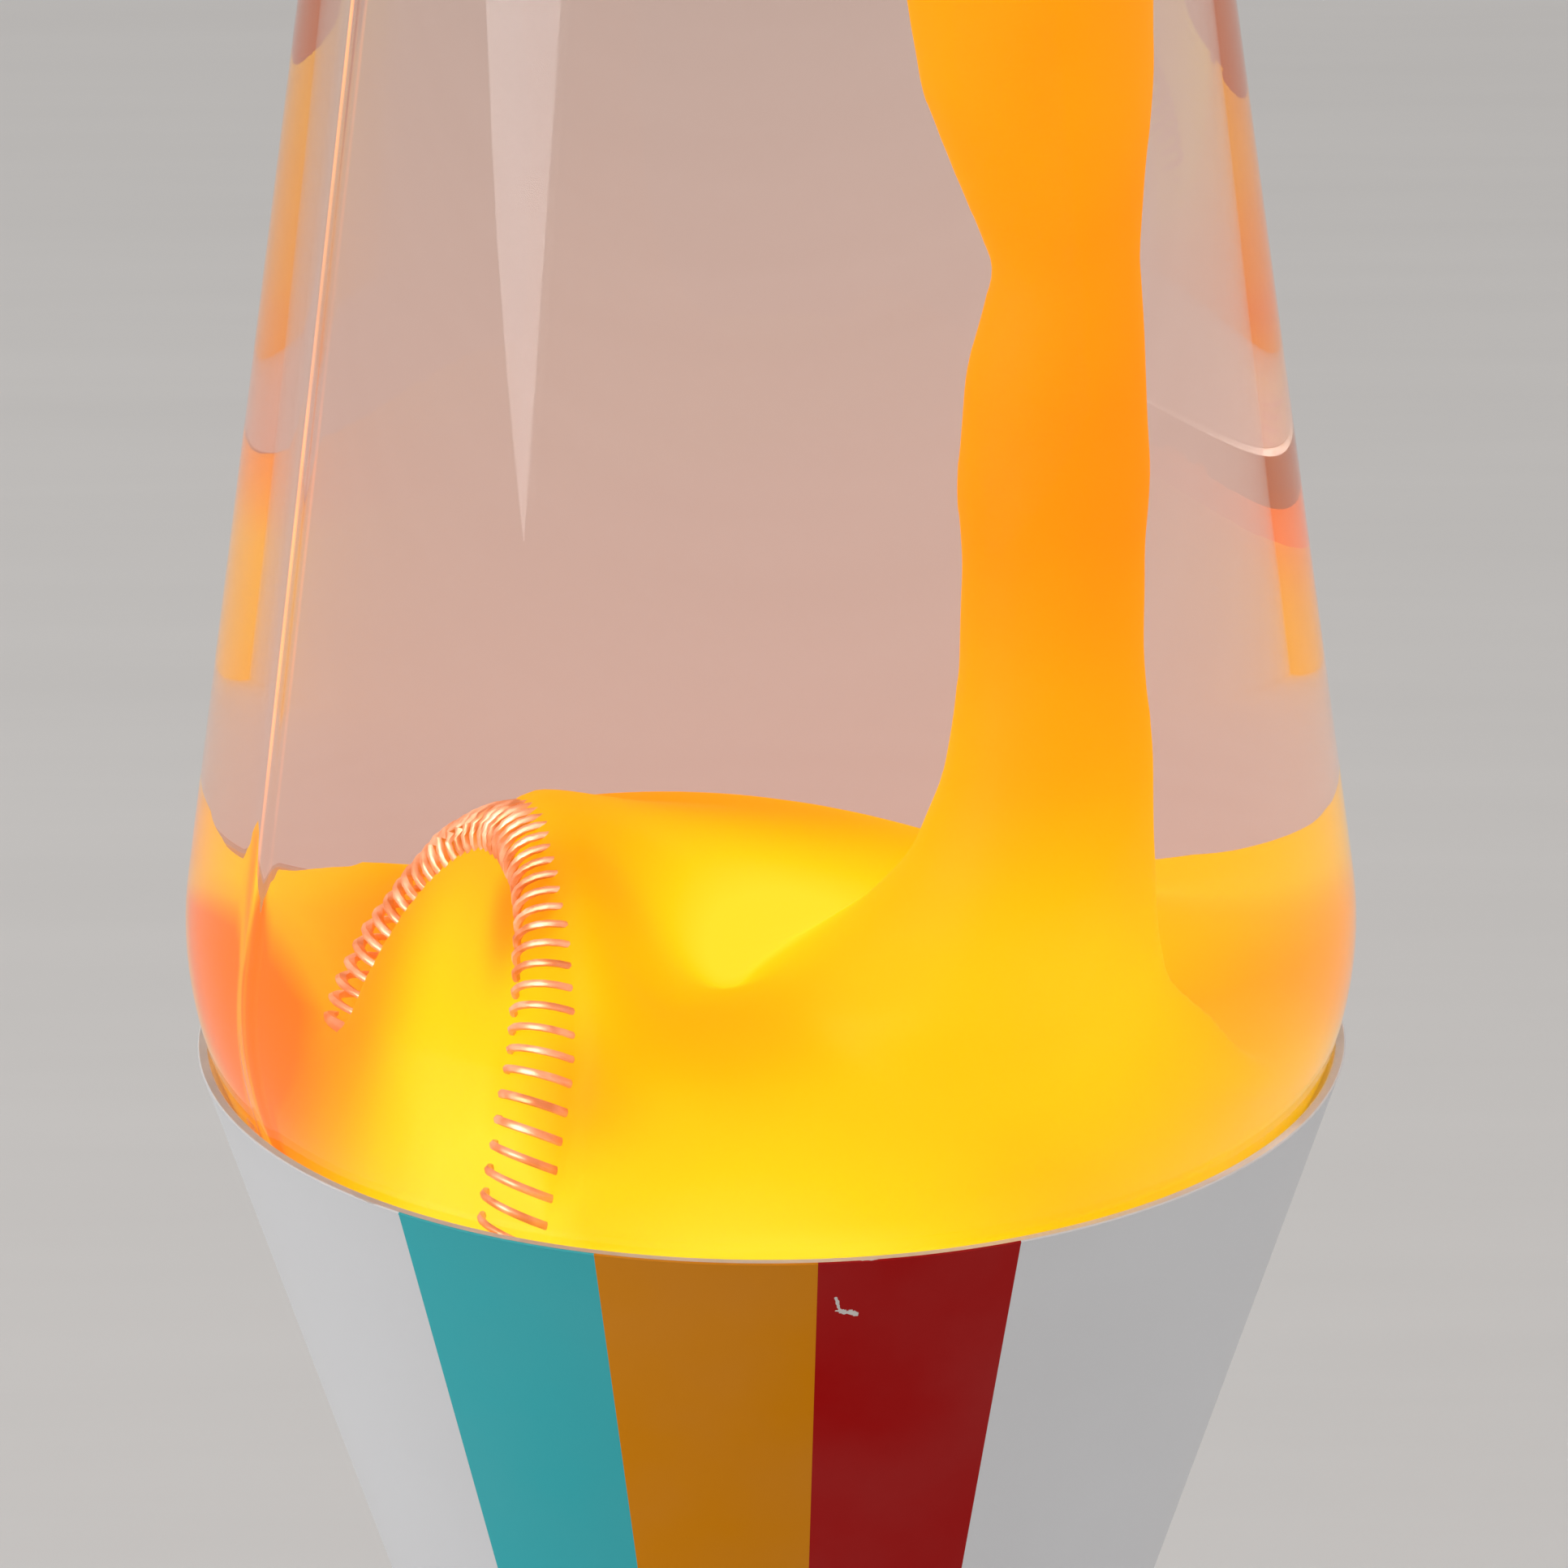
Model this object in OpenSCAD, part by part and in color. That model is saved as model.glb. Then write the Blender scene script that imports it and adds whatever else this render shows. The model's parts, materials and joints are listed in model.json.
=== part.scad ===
// Lava lamp: an hourglass base of two spun aluminium cones, a lamp holder with a
// golf-ball bulb, a tapered glass bottle of liquid and wax, and a conical cap.
// Origin: middle of the underside of the foot ring. +Z up, -Y is the striped front.

/* [Base] */
// Height of the rim that the bottle sits in
rim_z = 170; // [160:1:180]
// Outer radius of the base at the rim
rim_r = 52.5; // [52.3:0.1:54]
// Height of the waist, where the two cones are joined
waist_z = 95; // [90:1:100]
// Growth of the upper cone's radius for each millimetre of height
cone_slope = 0.315; // [0.31:0.005:0.32]
// Outer radius of the lower cone at the foot
foot_r = 56.5; // [54:0.5:60]
// Thickness of the spun aluminium
wall = 1; // [0.8:0.1:1.2]
// Height of the joint where one cone is pressed into the other
crimp_h = 7; // [5:1:9]

/* [Foot] */
// Height of the rubber ring under the foot
ring_h = 3; // [2.5:0.5:4]
// Width of the flange turned in at the foot
flange_w = 9; // [8:0.5:11]
// Thickness of the base plate
plate_t = 1.2; // [1:0.1:1.6]
// Number of air holes in the base plate
vent_count = 8; // [6:1:10]
// Radius of each air hole
vent_r = 4; // [3:0.5:5]

/* [Bottle] */
// Height of the bottle's underside
bottle_z = 124; // [123:0.5:126]
// Height of the bottle's widest place
belly_z = 181.5; // [181:0.5:182]
// Radius of the bottle at its widest place
belly_r = 53.2; // [53:0.1:53.4]
// Radius of the curve at the widest place
belly_curve = 33; // [31:1:35]
// Slope of the lower glass from upright, in degrees
lower_lean = 32.2; // [31:0.2:33]
// Slope of the upper glass from upright, in degrees
upper_lean = 8.5; // [8.3:0.1:8.7]
// Height where the upper glass turns into the shoulder
shoulder_z = 344.5; // [340:0.5:350]
// Thickness of the glass
glass_t = 2.6; // [2.2:0.1:3]
// Thickness of the bottle's floor
floor_t = 5; // [4:0.5:6]
// Radius of the bottle's neck
neck_r = 13; // [12:0.5:14]
// Height of the bottle's lip
lip_z = 384; // [380:1:388]

/* [Contents] */
// Height of the liquid's surface
liquid_z = 348; // [346:1:352]
// Height of the molten wax where it meets the glass
pool_z = 171; // [169:1:173]
// Height of the wax's dome above that
dome_h = 17; // [14:1:19]
// How far the rising column of wax stands to the right of the middle
column_x = 19.8; // [17:0.2:20]
// How far the column stands in front of the middle
column_y = 8; // [4:1:9]
// Radius of the column at its thinnest place
column_r = 6.2; // [5:0.2:6.4]
// Radius of the free blob of wax
blob_r = 8; // [6:0.5:9]
// Outer radius of the coil ring
coil_outer_r = 28.6; // [27:0.2:28.8]
// Radius of the coil's turns
coil_turn_r = 3.8; // [3:0.2:4]

/* [Top cap] */
// Height of the cap's lower edge
cap_z = 344; // [343:1:346]
// Height of the cap's flat top
cap_top_z = 430; // [415:1:440]
// Outer radius of the cap's flat top
cap_top_r = 20; // [18:0.5:23]

/* [Bulb] */
// Height of the bulb's centre contact
bulb_z = 30; // [29:0.5:31]
// Height of the bulb from the contact to the top of the glass
bulb_h = 78; // [74:1:80]
// Radius of the bulb's glass ball
ball_r = 22.5; // [20:0.5:23]
// Radius of the screw cap
screw_r = 6.9; // [6.8:0.1:6.9]

/* [Hidden] */
$fn = 96;

// Clearance between pieces that come apart
gap = 0.3;

// Film of liquid between the wax and the glass
film = 0.05;

// Base, worked out from its driving sizes
waist_r = rim_r - (rim_z - waist_z) * cone_slope;
collar_z = waist_z - crimp_h;
lower_slope = (foot_r - waist_r) / (collar_z - ring_h);
lower_lean_deg = atan(lower_slope);
plate_z = ring_h + wall;
plate_r = foot_r - wall - 1.2;
plate_top = plate_z + plate_t;
vent_pitch_r = 34;
screw_pitch_r = foot_r - flange_w + 3;

// Outer radius of the lower cone at a height
function lower_r(z) = waist_r + (collar_z - z) * lower_slope;

// Lamp holder and bracket
strip_w = 16;
strip_t = 1.2;
leg_x = 18;
rivet_x = leg_x + 5;
rivet_r = 1.6;
shelf_z = bulb_z - 4;
holder_r = 13.5;
holder_top = bulb_z + 22;
nipple_r = 5;
cavity_r = 10.4;
terminal_y = 11;

// Bulb
ball_z = bulb_z + bulb_h - ball_r;
cap_top = bulb_z + 25;
bulb_neck_r = 7.9;
bulb_glass_t = 0.7;

// Cord entry, square to the slope of the lower cone
entry_z = 15;
entry_r = 5;
cord_hole_r = 3.2;

// Coil ring: where its middle is and how it stands
coil_at = [-20.6, -1.2, 166];
coil_turn_deg = -87;
coil_tilt_deg = 13.2;

// Thickness of the wax lobe that fills the coil ring
lobe_t = coil_turn_r * 1.4;

// Radius where the wax's dome meets the glass
dome_edge_r = 49.5;

// Round head of the wax column
head_r = 15.5;
head_z = 322;

// Free blob of wax, at rest near the top
blob_at = [-15, 0, 300];

// Points of an arc from angle a to angle b
function arc(x, z, r, a, b, n = 14) =
    [for (i = [0:n]) let (t = a + (b - a) * i / n) [x + r * cos(t), z + r * sin(t)]];

// Middle of the belly curve and of the shoulder curve
belly_x = belly_r - belly_curve;
shoulder_curve = 10;
taper_start_r = belly_x + belly_curve * cos(upper_lean);
taper_start_z = belly_z + belly_curve * sin(upper_lean);
shoulder_x = taper_start_r
    - (shoulder_z + shoulder_curve * sin(upper_lean) - taper_start_z) * tan(upper_lean)
    - shoulder_curve * cos(upper_lean);
neck_curve = shoulder_x - neck_r;

// Place of a floor corner's middle, so that its arc meets the lower glass smoothly
function corner_x(corner, z, inset) =
    belly_x + (belly_curve - inset - corner + (z - belly_z) * sin(lower_lean))
    / cos(lower_lean);

// Outline of the bottle from its floor to its neck, set in by a distance
function bottle_outline(inset, floor_z, corner, top) = concat(
    [[0, floor_z]],
    arc(corner_x(corner, floor_z + corner, inset), floor_z + corner, corner,
        -90, -lower_lean, 6),
    arc(belly_x, belly_z, belly_curve - inset, -lower_lean, upper_lean),
    arc(shoulder_x, shoulder_z, shoulder_curve - inset, upper_lean, 90, 8),
    arc(shoulder_x, shoulder_z + shoulder_curve + neck_curve, neck_curve + inset,
        270, 180, 8),
    [[neck_r - inset, top], [0, top]]
);

// A flat ring with square edges
module ring(inner, outer, z, h) {
    translate([0, 0, z])
        rotate_extrude()
            translate([inner, 0])
                square([outer - inner, h]);
}

// Copies round the vertical axis
module around(count, first = 0) {
    for (i = [0:count - 1])
        rotate([0, 0, first + i * 360 / count])
            children();
}

// Puts a piece on the cord entry, its +Z pointing out of the base
module at_entry() {
    translate([0, lower_r(entry_z), entry_z])
        rotate([lower_lean_deg - 90, 0, 0])
            children();
}

// Puts a ring that lies flat where the coil ring stands
module at_coil() {
    translate(coil_at)
        rotate([0, 0, coil_turn_deg])
            rotate([90 - coil_tilt_deg, 0, 0])
                children();
}

// ---------------------------------------------------------------- base

// Spun lower cone, with a collar for the joint and a flange turned in at the foot
module lower_cone() {
    color("whitesmoke")
    difference() {
        rotate_extrude()
            polygon([
                [foot_r - flange_w, ring_h],
                [foot_r, ring_h],
                [waist_r, collar_z],
                [waist_r, waist_z],
                [waist_r - wall, waist_z],
                [waist_r - wall, collar_z],
                [foot_r - wall - lower_slope * wall, ring_h + wall],
                [foot_r - flange_w, ring_h + wall]
            ]);
        around(3, 30)
            translate([screw_pitch_r, 0, ring_h - 1])
                cylinder(r = 1.6, h = wall + 2);
        at_entry()
            translate([0, 0, -6])
                cylinder(r = entry_r, h = 12);
    }
}

// Spun upper cone, with its lower end stepped in to press into the collar
module upper_cone() {
    step_r = waist_r - wall;
    color("whitesmoke")
    rotate_extrude()
        polygon([
            [step_r, waist_z],
            [waist_r, waist_z],
            [rim_r, rim_z],
            [rim_r - wall, rim_z],
            [step_r - wall, waist_z + wall],
            [step_r - wall, waist_z - crimp_h + 1],
            [step_r, waist_z - crimp_h + 1]
        ]);
}

// Steel plate that closes the foot, with air holes and a hollow for each screw
module base_plate() {
    color("silver")
    difference() {
        translate([0, 0, plate_z])
            cylinder(r = plate_r, h = plate_t);
        around(vent_count, 180 / vent_count)
            translate([vent_pitch_r, 0, plate_z - 1])
                cylinder(r = vent_r, h = plate_t + 2);
        around(3, 30)
            translate([screw_pitch_r, 0, plate_z - 1])
                cylinder(r = 1.25, h = plate_t + 2);
        for (x = [-1, 1])
            translate([x * rivet_x, 0, plate_z - 1])
                cylinder(r = rivet_r, h = plate_t + 2);
    }
}

// Three self-tapping screws that hold the plate to the flange
module base_plate_screws() {
    color("silver")
    around(3, 30)
        translate([screw_pitch_r, 0, 0])
            difference() {
                union() {
                    translate([0, 0, ring_h - 1.6])
                        cylinder(r = 2.6, h = 1.6);
                    translate([0, 0, ring_h])
                        cylinder(r = 1.25, h = wall + plate_t + 3);
                }
                for (a = [0, 90])
                    rotate([0, 0, a])
                        translate([-1.5, -0.3, ring_h - 1.7])
                            cube([3, 0.6, 0.9]);
            }
}

// Rubber ring that the lamp stands on
module foot_ring() {
    color("dimgray")
    rotate_extrude()
        polygon([
            [foot_r - 3.3, 0],
            [foot_r - 0.8, 0],
            [foot_r + 0.2, 1],
            [foot_r + 0.2, ring_h],
            [foot_r - 3.3, ring_h]
        ]);
}

// Rubber bush with a groove, for the cord to come out through
module cord_grommet() {
    color("dimgray")
    at_entry()
        rotate_extrude()
            polygon([
                [cord_hole_r, -wall - 2],
                [entry_r + 1.2, -wall - 2],
                [entry_r + 1.2, -wall - 0.6],
                [entry_r, -wall - 0.6],
                [entry_r, 0.1],
                [entry_r + 1.5, 0.1],
                [entry_r + 1, 1.6],
                [cord_hole_r, 1.6]
            ]);
}

// ---------------------------------------------------------------- lamp holder

// Bent steel strip: two feet, two legs and a shelf with a hole
module lamp_bracket() {
    leg_h = shelf_z - plate_top;
    color("silver")
    difference() {
        union() {
            for (x = [-1, 1]) {
                translate([x * rivet_x - 5, -strip_w / 2, plate_top])
                    cube([10, strip_w, strip_t]);
                translate([x * (leg_x - strip_t / 2) - strip_t / 2, -strip_w / 2, plate_top])
                    cube([strip_t, strip_w, leg_h]);
            }
            translate([-leg_x, -strip_w / 2, shelf_z - strip_t])
                cube([2 * leg_x, strip_w, strip_t]);
        }
        translate([0, 0, shelf_z - 3])
            cylinder(r = nipple_r, h = 6);
        for (x = [-1, 1])
            translate([x * rivet_x, 0, plate_top - 1])
                cylinder(r = rivet_r, h = strip_t + 2);
    }
}

// Two rivets through the bracket's feet and the plate
module bracket_rivets() {
    color("silver")
    for (x = [-1, 1])
        translate([x * rivet_x, 0, 0])
            union() {
                translate([0, 0, plate_z])
                    cylinder(r = rivet_r, h = plate_t + strip_t);
                translate([0, 0, plate_top + strip_t])
                    cylinder(r1 = 2.8, r2 = rivet_r, h = 1.2);
                translate([0, 0, plate_z - 0.9])
                    cylinder(r1 = 1.8, r2 = 2.8, h = 0.9);
            }
}

// Hollow threaded tube that fixes the holder to the shelf and lets the wires in
module socket_nipple() {
    color("goldenrod")
    ring(3.8, nipple_r, shelf_z - 7, 10);
}

// Six-sided nut under the shelf
module socket_nut() {
    color("goldenrod")
    translate([0, 0, shelf_z - strip_t - 3])
        difference() {
            cylinder(r = 8, h = 3, $fn = 6);
            translate([0, 0, -1])
                cylinder(r = nipple_r, h = 5);
        }
}

// Moulded lamp holder: a deep cup with a floor that the nipple screws into
module socket_body() {
    color("ivory")
    difference() {
        union() {
            translate([0, 0, shelf_z])
                cylinder(r = holder_r, h = holder_top - shelf_z - 8);
            translate([0, 0, holder_top - 8])
                cylinder(r1 = holder_r, r2 = holder_r - 2, h = 8);
        }
        translate([0, 0, shelf_z + 3])
            cylinder(r = cavity_r, h = holder_top);
        translate([0, 0, shelf_z - 1])
            cylinder(r = nipple_r, h = 5);
        for (y = [-1, 1])
            translate([0, y * terminal_y, shelf_z - 1])
                cylinder(r = 1.2, h = 4);
    }
}

// Brass sleeve that the bulb screws into
module socket_shell() {
    color("gold")
    ring(screw_r + gap + 0.05, screw_r + 0.85, shelf_z + 5, 18);
}

// Springy brass tongue under the bulb's tip
module socket_contact() {
    color("gold")
    union() {
        translate([-7, -2, shelf_z + 3])
            cube([14, 4, 0.4]);
        translate([0, 0, shelf_z + 3.4])
            cylinder(r1 = 1.8, r2 = 1, h = 0.3);
    }
}

// Two screws that hold the wires, in the holder's underside
module terminal_screws() {
    color("silver")
    for (y = [-1, 1])
        translate([0, y * terminal_y, 0])
            difference() {
                union() {
                    translate([0, 0, shelf_z - 1.8])
                        cylinder(r = 2.2, h = 1.8);
                    translate([0, 0, shelf_z])
                        cylinder(r = 1.2, h = 2.8);
                }
                translate([-2.5, -0.3, shelf_z - 2])
                    cube([5, 0.6, 0.8]);
            }
}

// ---------------------------------------------------------------- bulb

// Outline of the bulb's glass from its neck to its crown, set in by a distance
function bulb_outline(inset) = concat(
    [[0, cap_top - 4], [bulb_neck_r - inset, cap_top - 4], [bulb_neck_r - inset, cap_top]],
    arc(0, ball_z, ball_r - inset, -65, 90, 28)
);

// Thin blown glass of a golf-ball bulb
module bulb_glass() {
    color("white", 0.4)
    rotate_extrude()
        difference() {
            polygon(bulb_outline(0));
            translate([0, -0.01])
                polygon(bulb_outline(bulb_glass_t));
        }
}

// Glass stem inside the bulb, flattened into a pinch at its top
module bulb_stem() {
    color("white", 0.6)
    rotate_extrude()
        polygon([
            [0, cap_top - 3], [6.4, cap_top - 3], [6, cap_top - 2], [3.2, cap_top + 2],
            [2.6, cap_top + 15], [1.6, cap_top + 18], [0, cap_top + 18]
        ]);
}

// Two support wires and the filament between them
module bulb_filament() {
    foot_z = cap_top + 18;
    rise = ball_z + 2 - foot_z;
    spread = 9;
    color("gray")
    union() {
        for (x = [-1, 1])
            translate([x, 0, foot_z])
                rotate([0, x * atan((spread - 1) / rise), 0])
                    cylinder(r = 0.3, h = norm([rise, spread - 1]));
        translate([-spread, 0, foot_z + rise])
            rotate([0, 90, 0])
                cylinder(r = 0.7, h = 2 * spread);
    }
}

// Brass screw cap with a flared skirt
module bulb_cap() {
    color("gold")
    rotate_extrude()
        polygon([
            [4, bulb_z + 3], [screw_r, bulb_z + 4.5], [screw_r, cap_top - 5],
            [bulb_neck_r + 0.6, cap_top - 4], [bulb_neck_r + 0.6, cap_top],
            [bulb_neck_r, cap_top], [bulb_neck_r, cap_top - 4],
            [screw_r - 0.5, cap_top - 5], [screw_r - 0.5, bulb_z + 5], [4, bulb_z + 3.6]
        ]);
}

// Glass insulator between the cap and the tip
module bulb_insulator() {
    color("black")
    rotate_extrude()
        polygon([
            [0, bulb_z + 1], [2.6, bulb_z + 1], [4, bulb_z + 3], [4, bulb_z + 3.6],
            [0, bulb_z + 3.6]
        ]);
}

// Solder contact at the bottom of the bulb
module bulb_tip() {
    color("silver")
    translate([0, 0, bulb_z])
        cylinder(r1 = 1.2, r2 = 2.2, h = 1);
}

// ---------------------------------------------------------------- bottle

// Outline of the space inside the bottle, set in from the glass by a clearance
module inner_outline(clearance = 0) {
    polygon(bottle_outline(
        glass_t + clearance, bottle_z + floor_t + clearance, 5, lip_z + 1
    ));
}

// Outline of the pool's top: everything under a low dome
module under_dome() {
    dome_r = (pow(dome_edge_r, 2) + pow(dome_h, 2)) / (2 * dome_h);
    half_angle = asin((belly_r + 5) / dome_r);
    polygon(concat(
        [[0, 0], [belly_r + 5, 0]],
        arc(0, pool_z + dome_h - dome_r, dome_r, 90 - half_angle, 90, 10)
    ));
}

// Blown glass bottle, hollowed underneath, with a bead round its lip
module globe_glass() {
    color("white", 0.3)
    rotate_extrude()
        difference() {
            union() {
                polygon(bottle_outline(0, bottle_z, 4, lip_z));
                translate([neck_r - 1, lip_z - 8])
                    square([1.6, 2.5]);
                translate([neck_r - 0.6, lip_z - 1.6])
                    circle(r = 1.6, $fn = 24);
            }
            inner_outline();
            polygon(concat(
                [[0, bottle_z - 1], [17.3, bottle_z - 1]],
                arc(0, bottle_z - 74, 76, 76, 90, 8)
            ));
            translate([0, lip_z])
                square([neck_r + 5, 5]);
        }
}

// Wax that stands above the pool: the lobe in the coil and the rising column,
// which spreads at its foot and ends in a round head under the neck
module wax_risers() {
    at_coil()
        translate([0, 0, -lobe_t / 2])
            cylinder(r = coil_outer_r - 1.2, h = lobe_t);
    translate([column_x, -column_y, pool_z])
        rotate_extrude()
            polygon([
                [0, 0], [column_r * 3.9, 0], [column_r * 3.9, 9], [column_r * 2.9, 13],
                [column_r * 2.2, 17], [column_r * 1.6, 21], [column_r * 1.35, 26],
                [column_r * 1.13, 34], [column_r * 1.06, 44], [column_r * 1.15, 53],
                [column_r * 1.03, 65], [column_r * 0.92, 76], [column_r * 1.2, 85],
                [column_r * 1.48, 97], [column_r * 1.45, 109], [column_r * 1.26, 121],
                [column_r * 1.32, 133], [0, 145]
            ]);
    translate([column_x - 9, 5 - column_y, head_z])
        sphere(r = head_r);
}

// The whole mass of coloured wax, hollowed where the coil ring lies in it
module wax_mass() {
    color("orange")
    difference() {
        union() {
            rotate_extrude()
                intersection() {
                    inner_outline(film);
                    under_dome();
                }
            wax_risers();
        }
        coil_ring();
    }
}

// A blob of wax that has broken away and floats by itself
module wax_blob() {
    color("orange")
    translate(blob_at)
        sphere(r = blob_r);
}

// Clear liquid round the wax, the blob and the coil
module globe_liquid() {
    color("mistyrose", 0.3)
    difference() {
        rotate_extrude()
            difference() {
                inner_outline();
                under_dome();
                translate([0, liquid_z])
                    square([neck_r * 4, lip_z]);
            }
        wax_risers();
        at_coil()
            rotate_extrude()
                translate([coil_outer_r - coil_turn_r, 0])
                    circle(r = coil_turn_r, $fn = 32);
        translate(blob_at)
            sphere(r = blob_r + gap);
    }
}

// Outer form of the springy ring of coiled wire
module coil_ring() {
    color("silver")
    at_coil()
        rotate_extrude()
            translate([coil_outer_r - coil_turn_r, 0])
                difference() {
                    circle(r = coil_turn_r, $fn = 32);
                    circle(r = coil_turn_r - 0.5, $fn = 32);
                }
}

// Crimped steel cap over the lip
module crown_cap() {
    skirt_r = neck_r + 1.6;
    color("silver")
    rotate_extrude()
        polygon([
            [0, lip_z + 0.8], [neck_r, lip_z + 0.8], [skirt_r - 0.4, lip_z + 0.2],
            [skirt_r, lip_z - 1.4], [skirt_r + 1.2, lip_z - 5.2], [skirt_r + 1.6, lip_z - 5.2],
            [skirt_r + 0.6, lip_z], [neck_r + 0.6, lip_z + 1.2], [0, lip_z + 1.2]
        ]);
}

// Soft disc that seals the lip under the crown cap
module crown_liner() {
    color("white")
    translate([0, 0, lip_z])
        cylinder(r = neck_r, h = 0.8);
}

// Spun aluminium cap that hides the neck
module top_cap() {
    seat_r = taper_start_r - (cap_z - taper_start_z) * tan(upper_lean) + gap + 0.1;
    edge = 2.5;
    color("whitesmoke")
    rotate_extrude()
        polygon(concat(
            [[seat_r, cap_z], [seat_r + wall, cap_z]],
            arc(cap_top_r - edge, cap_top_z - edge, edge, 8, 90, 6),
            [[0, cap_top_z], [0, cap_top_z - wall]],
            arc(cap_top_r - edge, cap_top_z - edge, edge - wall, 90, 8, 6)
        ));
}

lower_cone();
upper_cone();
base_plate();
base_plate_screws();
foot_ring();
cord_grommet();
lamp_bracket();
bracket_rivets();
socket_nipple();
socket_nut();
socket_body();
socket_shell();
socket_contact();
terminal_screws();
bulb_glass();
bulb_stem();
bulb_filament();
bulb_cap();
bulb_insulator();
bulb_tip();
globe_glass();
globe_liquid();
wax_mass();
wax_blob();
coil_ring();
crown_cap();
crown_liner();
top_cap();
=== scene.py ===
import json
from math import atan2, cos, exp, hypot, pi, radians, sin, sqrt, tan

import bpy
import numpy as np
from mathutils import Matrix, Vector, noise


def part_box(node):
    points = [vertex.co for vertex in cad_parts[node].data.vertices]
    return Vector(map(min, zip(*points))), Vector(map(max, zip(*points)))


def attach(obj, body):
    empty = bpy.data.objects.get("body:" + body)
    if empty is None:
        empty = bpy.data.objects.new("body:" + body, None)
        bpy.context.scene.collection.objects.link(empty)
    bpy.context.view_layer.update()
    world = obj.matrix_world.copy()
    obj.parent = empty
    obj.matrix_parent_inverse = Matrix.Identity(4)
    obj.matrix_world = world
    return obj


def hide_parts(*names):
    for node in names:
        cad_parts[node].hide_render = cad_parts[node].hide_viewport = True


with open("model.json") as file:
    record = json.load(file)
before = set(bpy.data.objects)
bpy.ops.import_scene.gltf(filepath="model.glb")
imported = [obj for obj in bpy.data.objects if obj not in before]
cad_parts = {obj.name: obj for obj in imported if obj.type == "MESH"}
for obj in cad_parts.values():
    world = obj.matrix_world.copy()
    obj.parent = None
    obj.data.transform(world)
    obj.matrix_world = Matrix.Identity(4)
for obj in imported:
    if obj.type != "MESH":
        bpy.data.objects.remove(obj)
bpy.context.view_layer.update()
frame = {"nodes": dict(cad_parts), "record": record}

# ---- Studio
# The lit lamp stands on a plain pale table in an even grey room. One big soft box at
# the front left lights it, and a weak one at the right fills in. A third, by the first,
# is seen only as a gleam on the glass. The view looks down a little at the bottle.
rim_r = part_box("upper_cone")[1].x
rim_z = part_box("upper_cone")[1].z

scene = bpy.context.scene
scene.view_settings.view_transform = "Standard"

room = bpy.data.worlds.new("pale_room")
room.use_nodes = True
room.node_tree.nodes["Background"].inputs["Color"].default_value = (0.505, 0.49, 0.478, 1)
room.node_tree.nodes["Background"].inputs["Strength"].default_value = 1.0
scene.world = room


def new_material(name):
    """An empty material with its Principled shader, ready to be wired."""
    material = bpy.data.materials.new(name)
    material.use_nodes = True
    return material, material.node_tree.nodes["Principled BSDF"]


def add_node(tree, kind, **settings):
    """A node of that kind. A setting called i0, i1 and so on is the input with that number,
    one called after an input is that input, and any other is a property of the node."""
    node = tree.nodes.new(kind)
    for key, value in settings.items():
        numbered = key[0] == "i" and key[1:].isdigit()
        socket = int(key[1:]) if numbered else key.replace("_", " ").title()
        if numbered or socket in node.inputs:
            target = node.inputs[socket]
            if isinstance(value, bpy.types.NodeSocket):
                tree.links.new(value, target)
            else:
                target.default_value = value
        else:
            setattr(node, key, value)
    return node


def object_point(tree):
    """The point on the piece in the piece's own metres."""
    return add_node(tree, "ShaderNodeTexCoord").outputs["Object"]


def vector_node(tree, operation, a, b):
    """One Vector Math node; gives back its number or its vector."""
    node = add_node(tree, "ShaderNodeVectorMath", operation=operation, i0=a, i1=b)
    return node.outputs["Value" if operation in ("DOT_PRODUCT", "DISTANCE") else "Vector"]


def noise_value(tree, point, scale, detail=3.0, roughness=0.5):
    """Soft random noise between 0 and 1 over the piece."""
    return add_node(tree, "ShaderNodeTexNoise", i0=point, i2=scale, i3=detail,
                    i4=roughness).outputs["Fac"]


def colour_ramp(tree, value, stops, interpolation="LINEAR"):
    """A ramp with its stops given as (place, (r, g, b))."""
    node = add_node(tree, "ShaderNodeValToRGB", i0=value)
    ramp = node.color_ramp
    ramp.interpolation = interpolation
    while len(ramp.elements) < len(stops):
        ramp.elements.new(0.5)
    for element, (place, colour) in zip(ramp.elements, stops):
        element.position = place
        element.color = (*colour, 1)
    return node.outputs["Color"]


def give(material, shader, sockets):
    """Wires or fills the named sockets of a material's shader."""
    for name, value in sockets.items():
        if isinstance(value, bpy.types.NodeSocket):
            material.node_tree.links.new(value, shader.inputs[name])
        elif isinstance(value, tuple) and len(value) == 3:
            shader.inputs[name].default_value = (*value, 1)
        else:
            shader.inputs[name].default_value = value


def table_top():
    """A wide pale table with a very faint grain."""
    size = 40.0
    mesh = bpy.data.meshes.new("table_top")
    mesh.from_pydata([(-size, -size, 0), (size, -size, 0), (size, size, 0), (-size, size, 0)],
                     [], [(0, 1, 2, 3)])
    table = bpy.data.objects.new("table_top", mesh)
    scene.collection.objects.link(table)
    material, shader = new_material("pale_table")
    tree = material.node_tree
    grain_run = (1.5, 14.0, 1.0)
    grain = noise_value(tree, vector_node(tree, "MULTIPLY", object_point(tree), grain_run), 3.0, 4.0)
    give(material, shader, {
        "Base Color": colour_ramp(tree, grain, [(0.3, (0.775, 0.765, 0.755)), (0.7, (0.80, 0.79, 0.78))]),
        "Roughness": 0.75,
    })
    mesh.materials.append(material)


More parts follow.
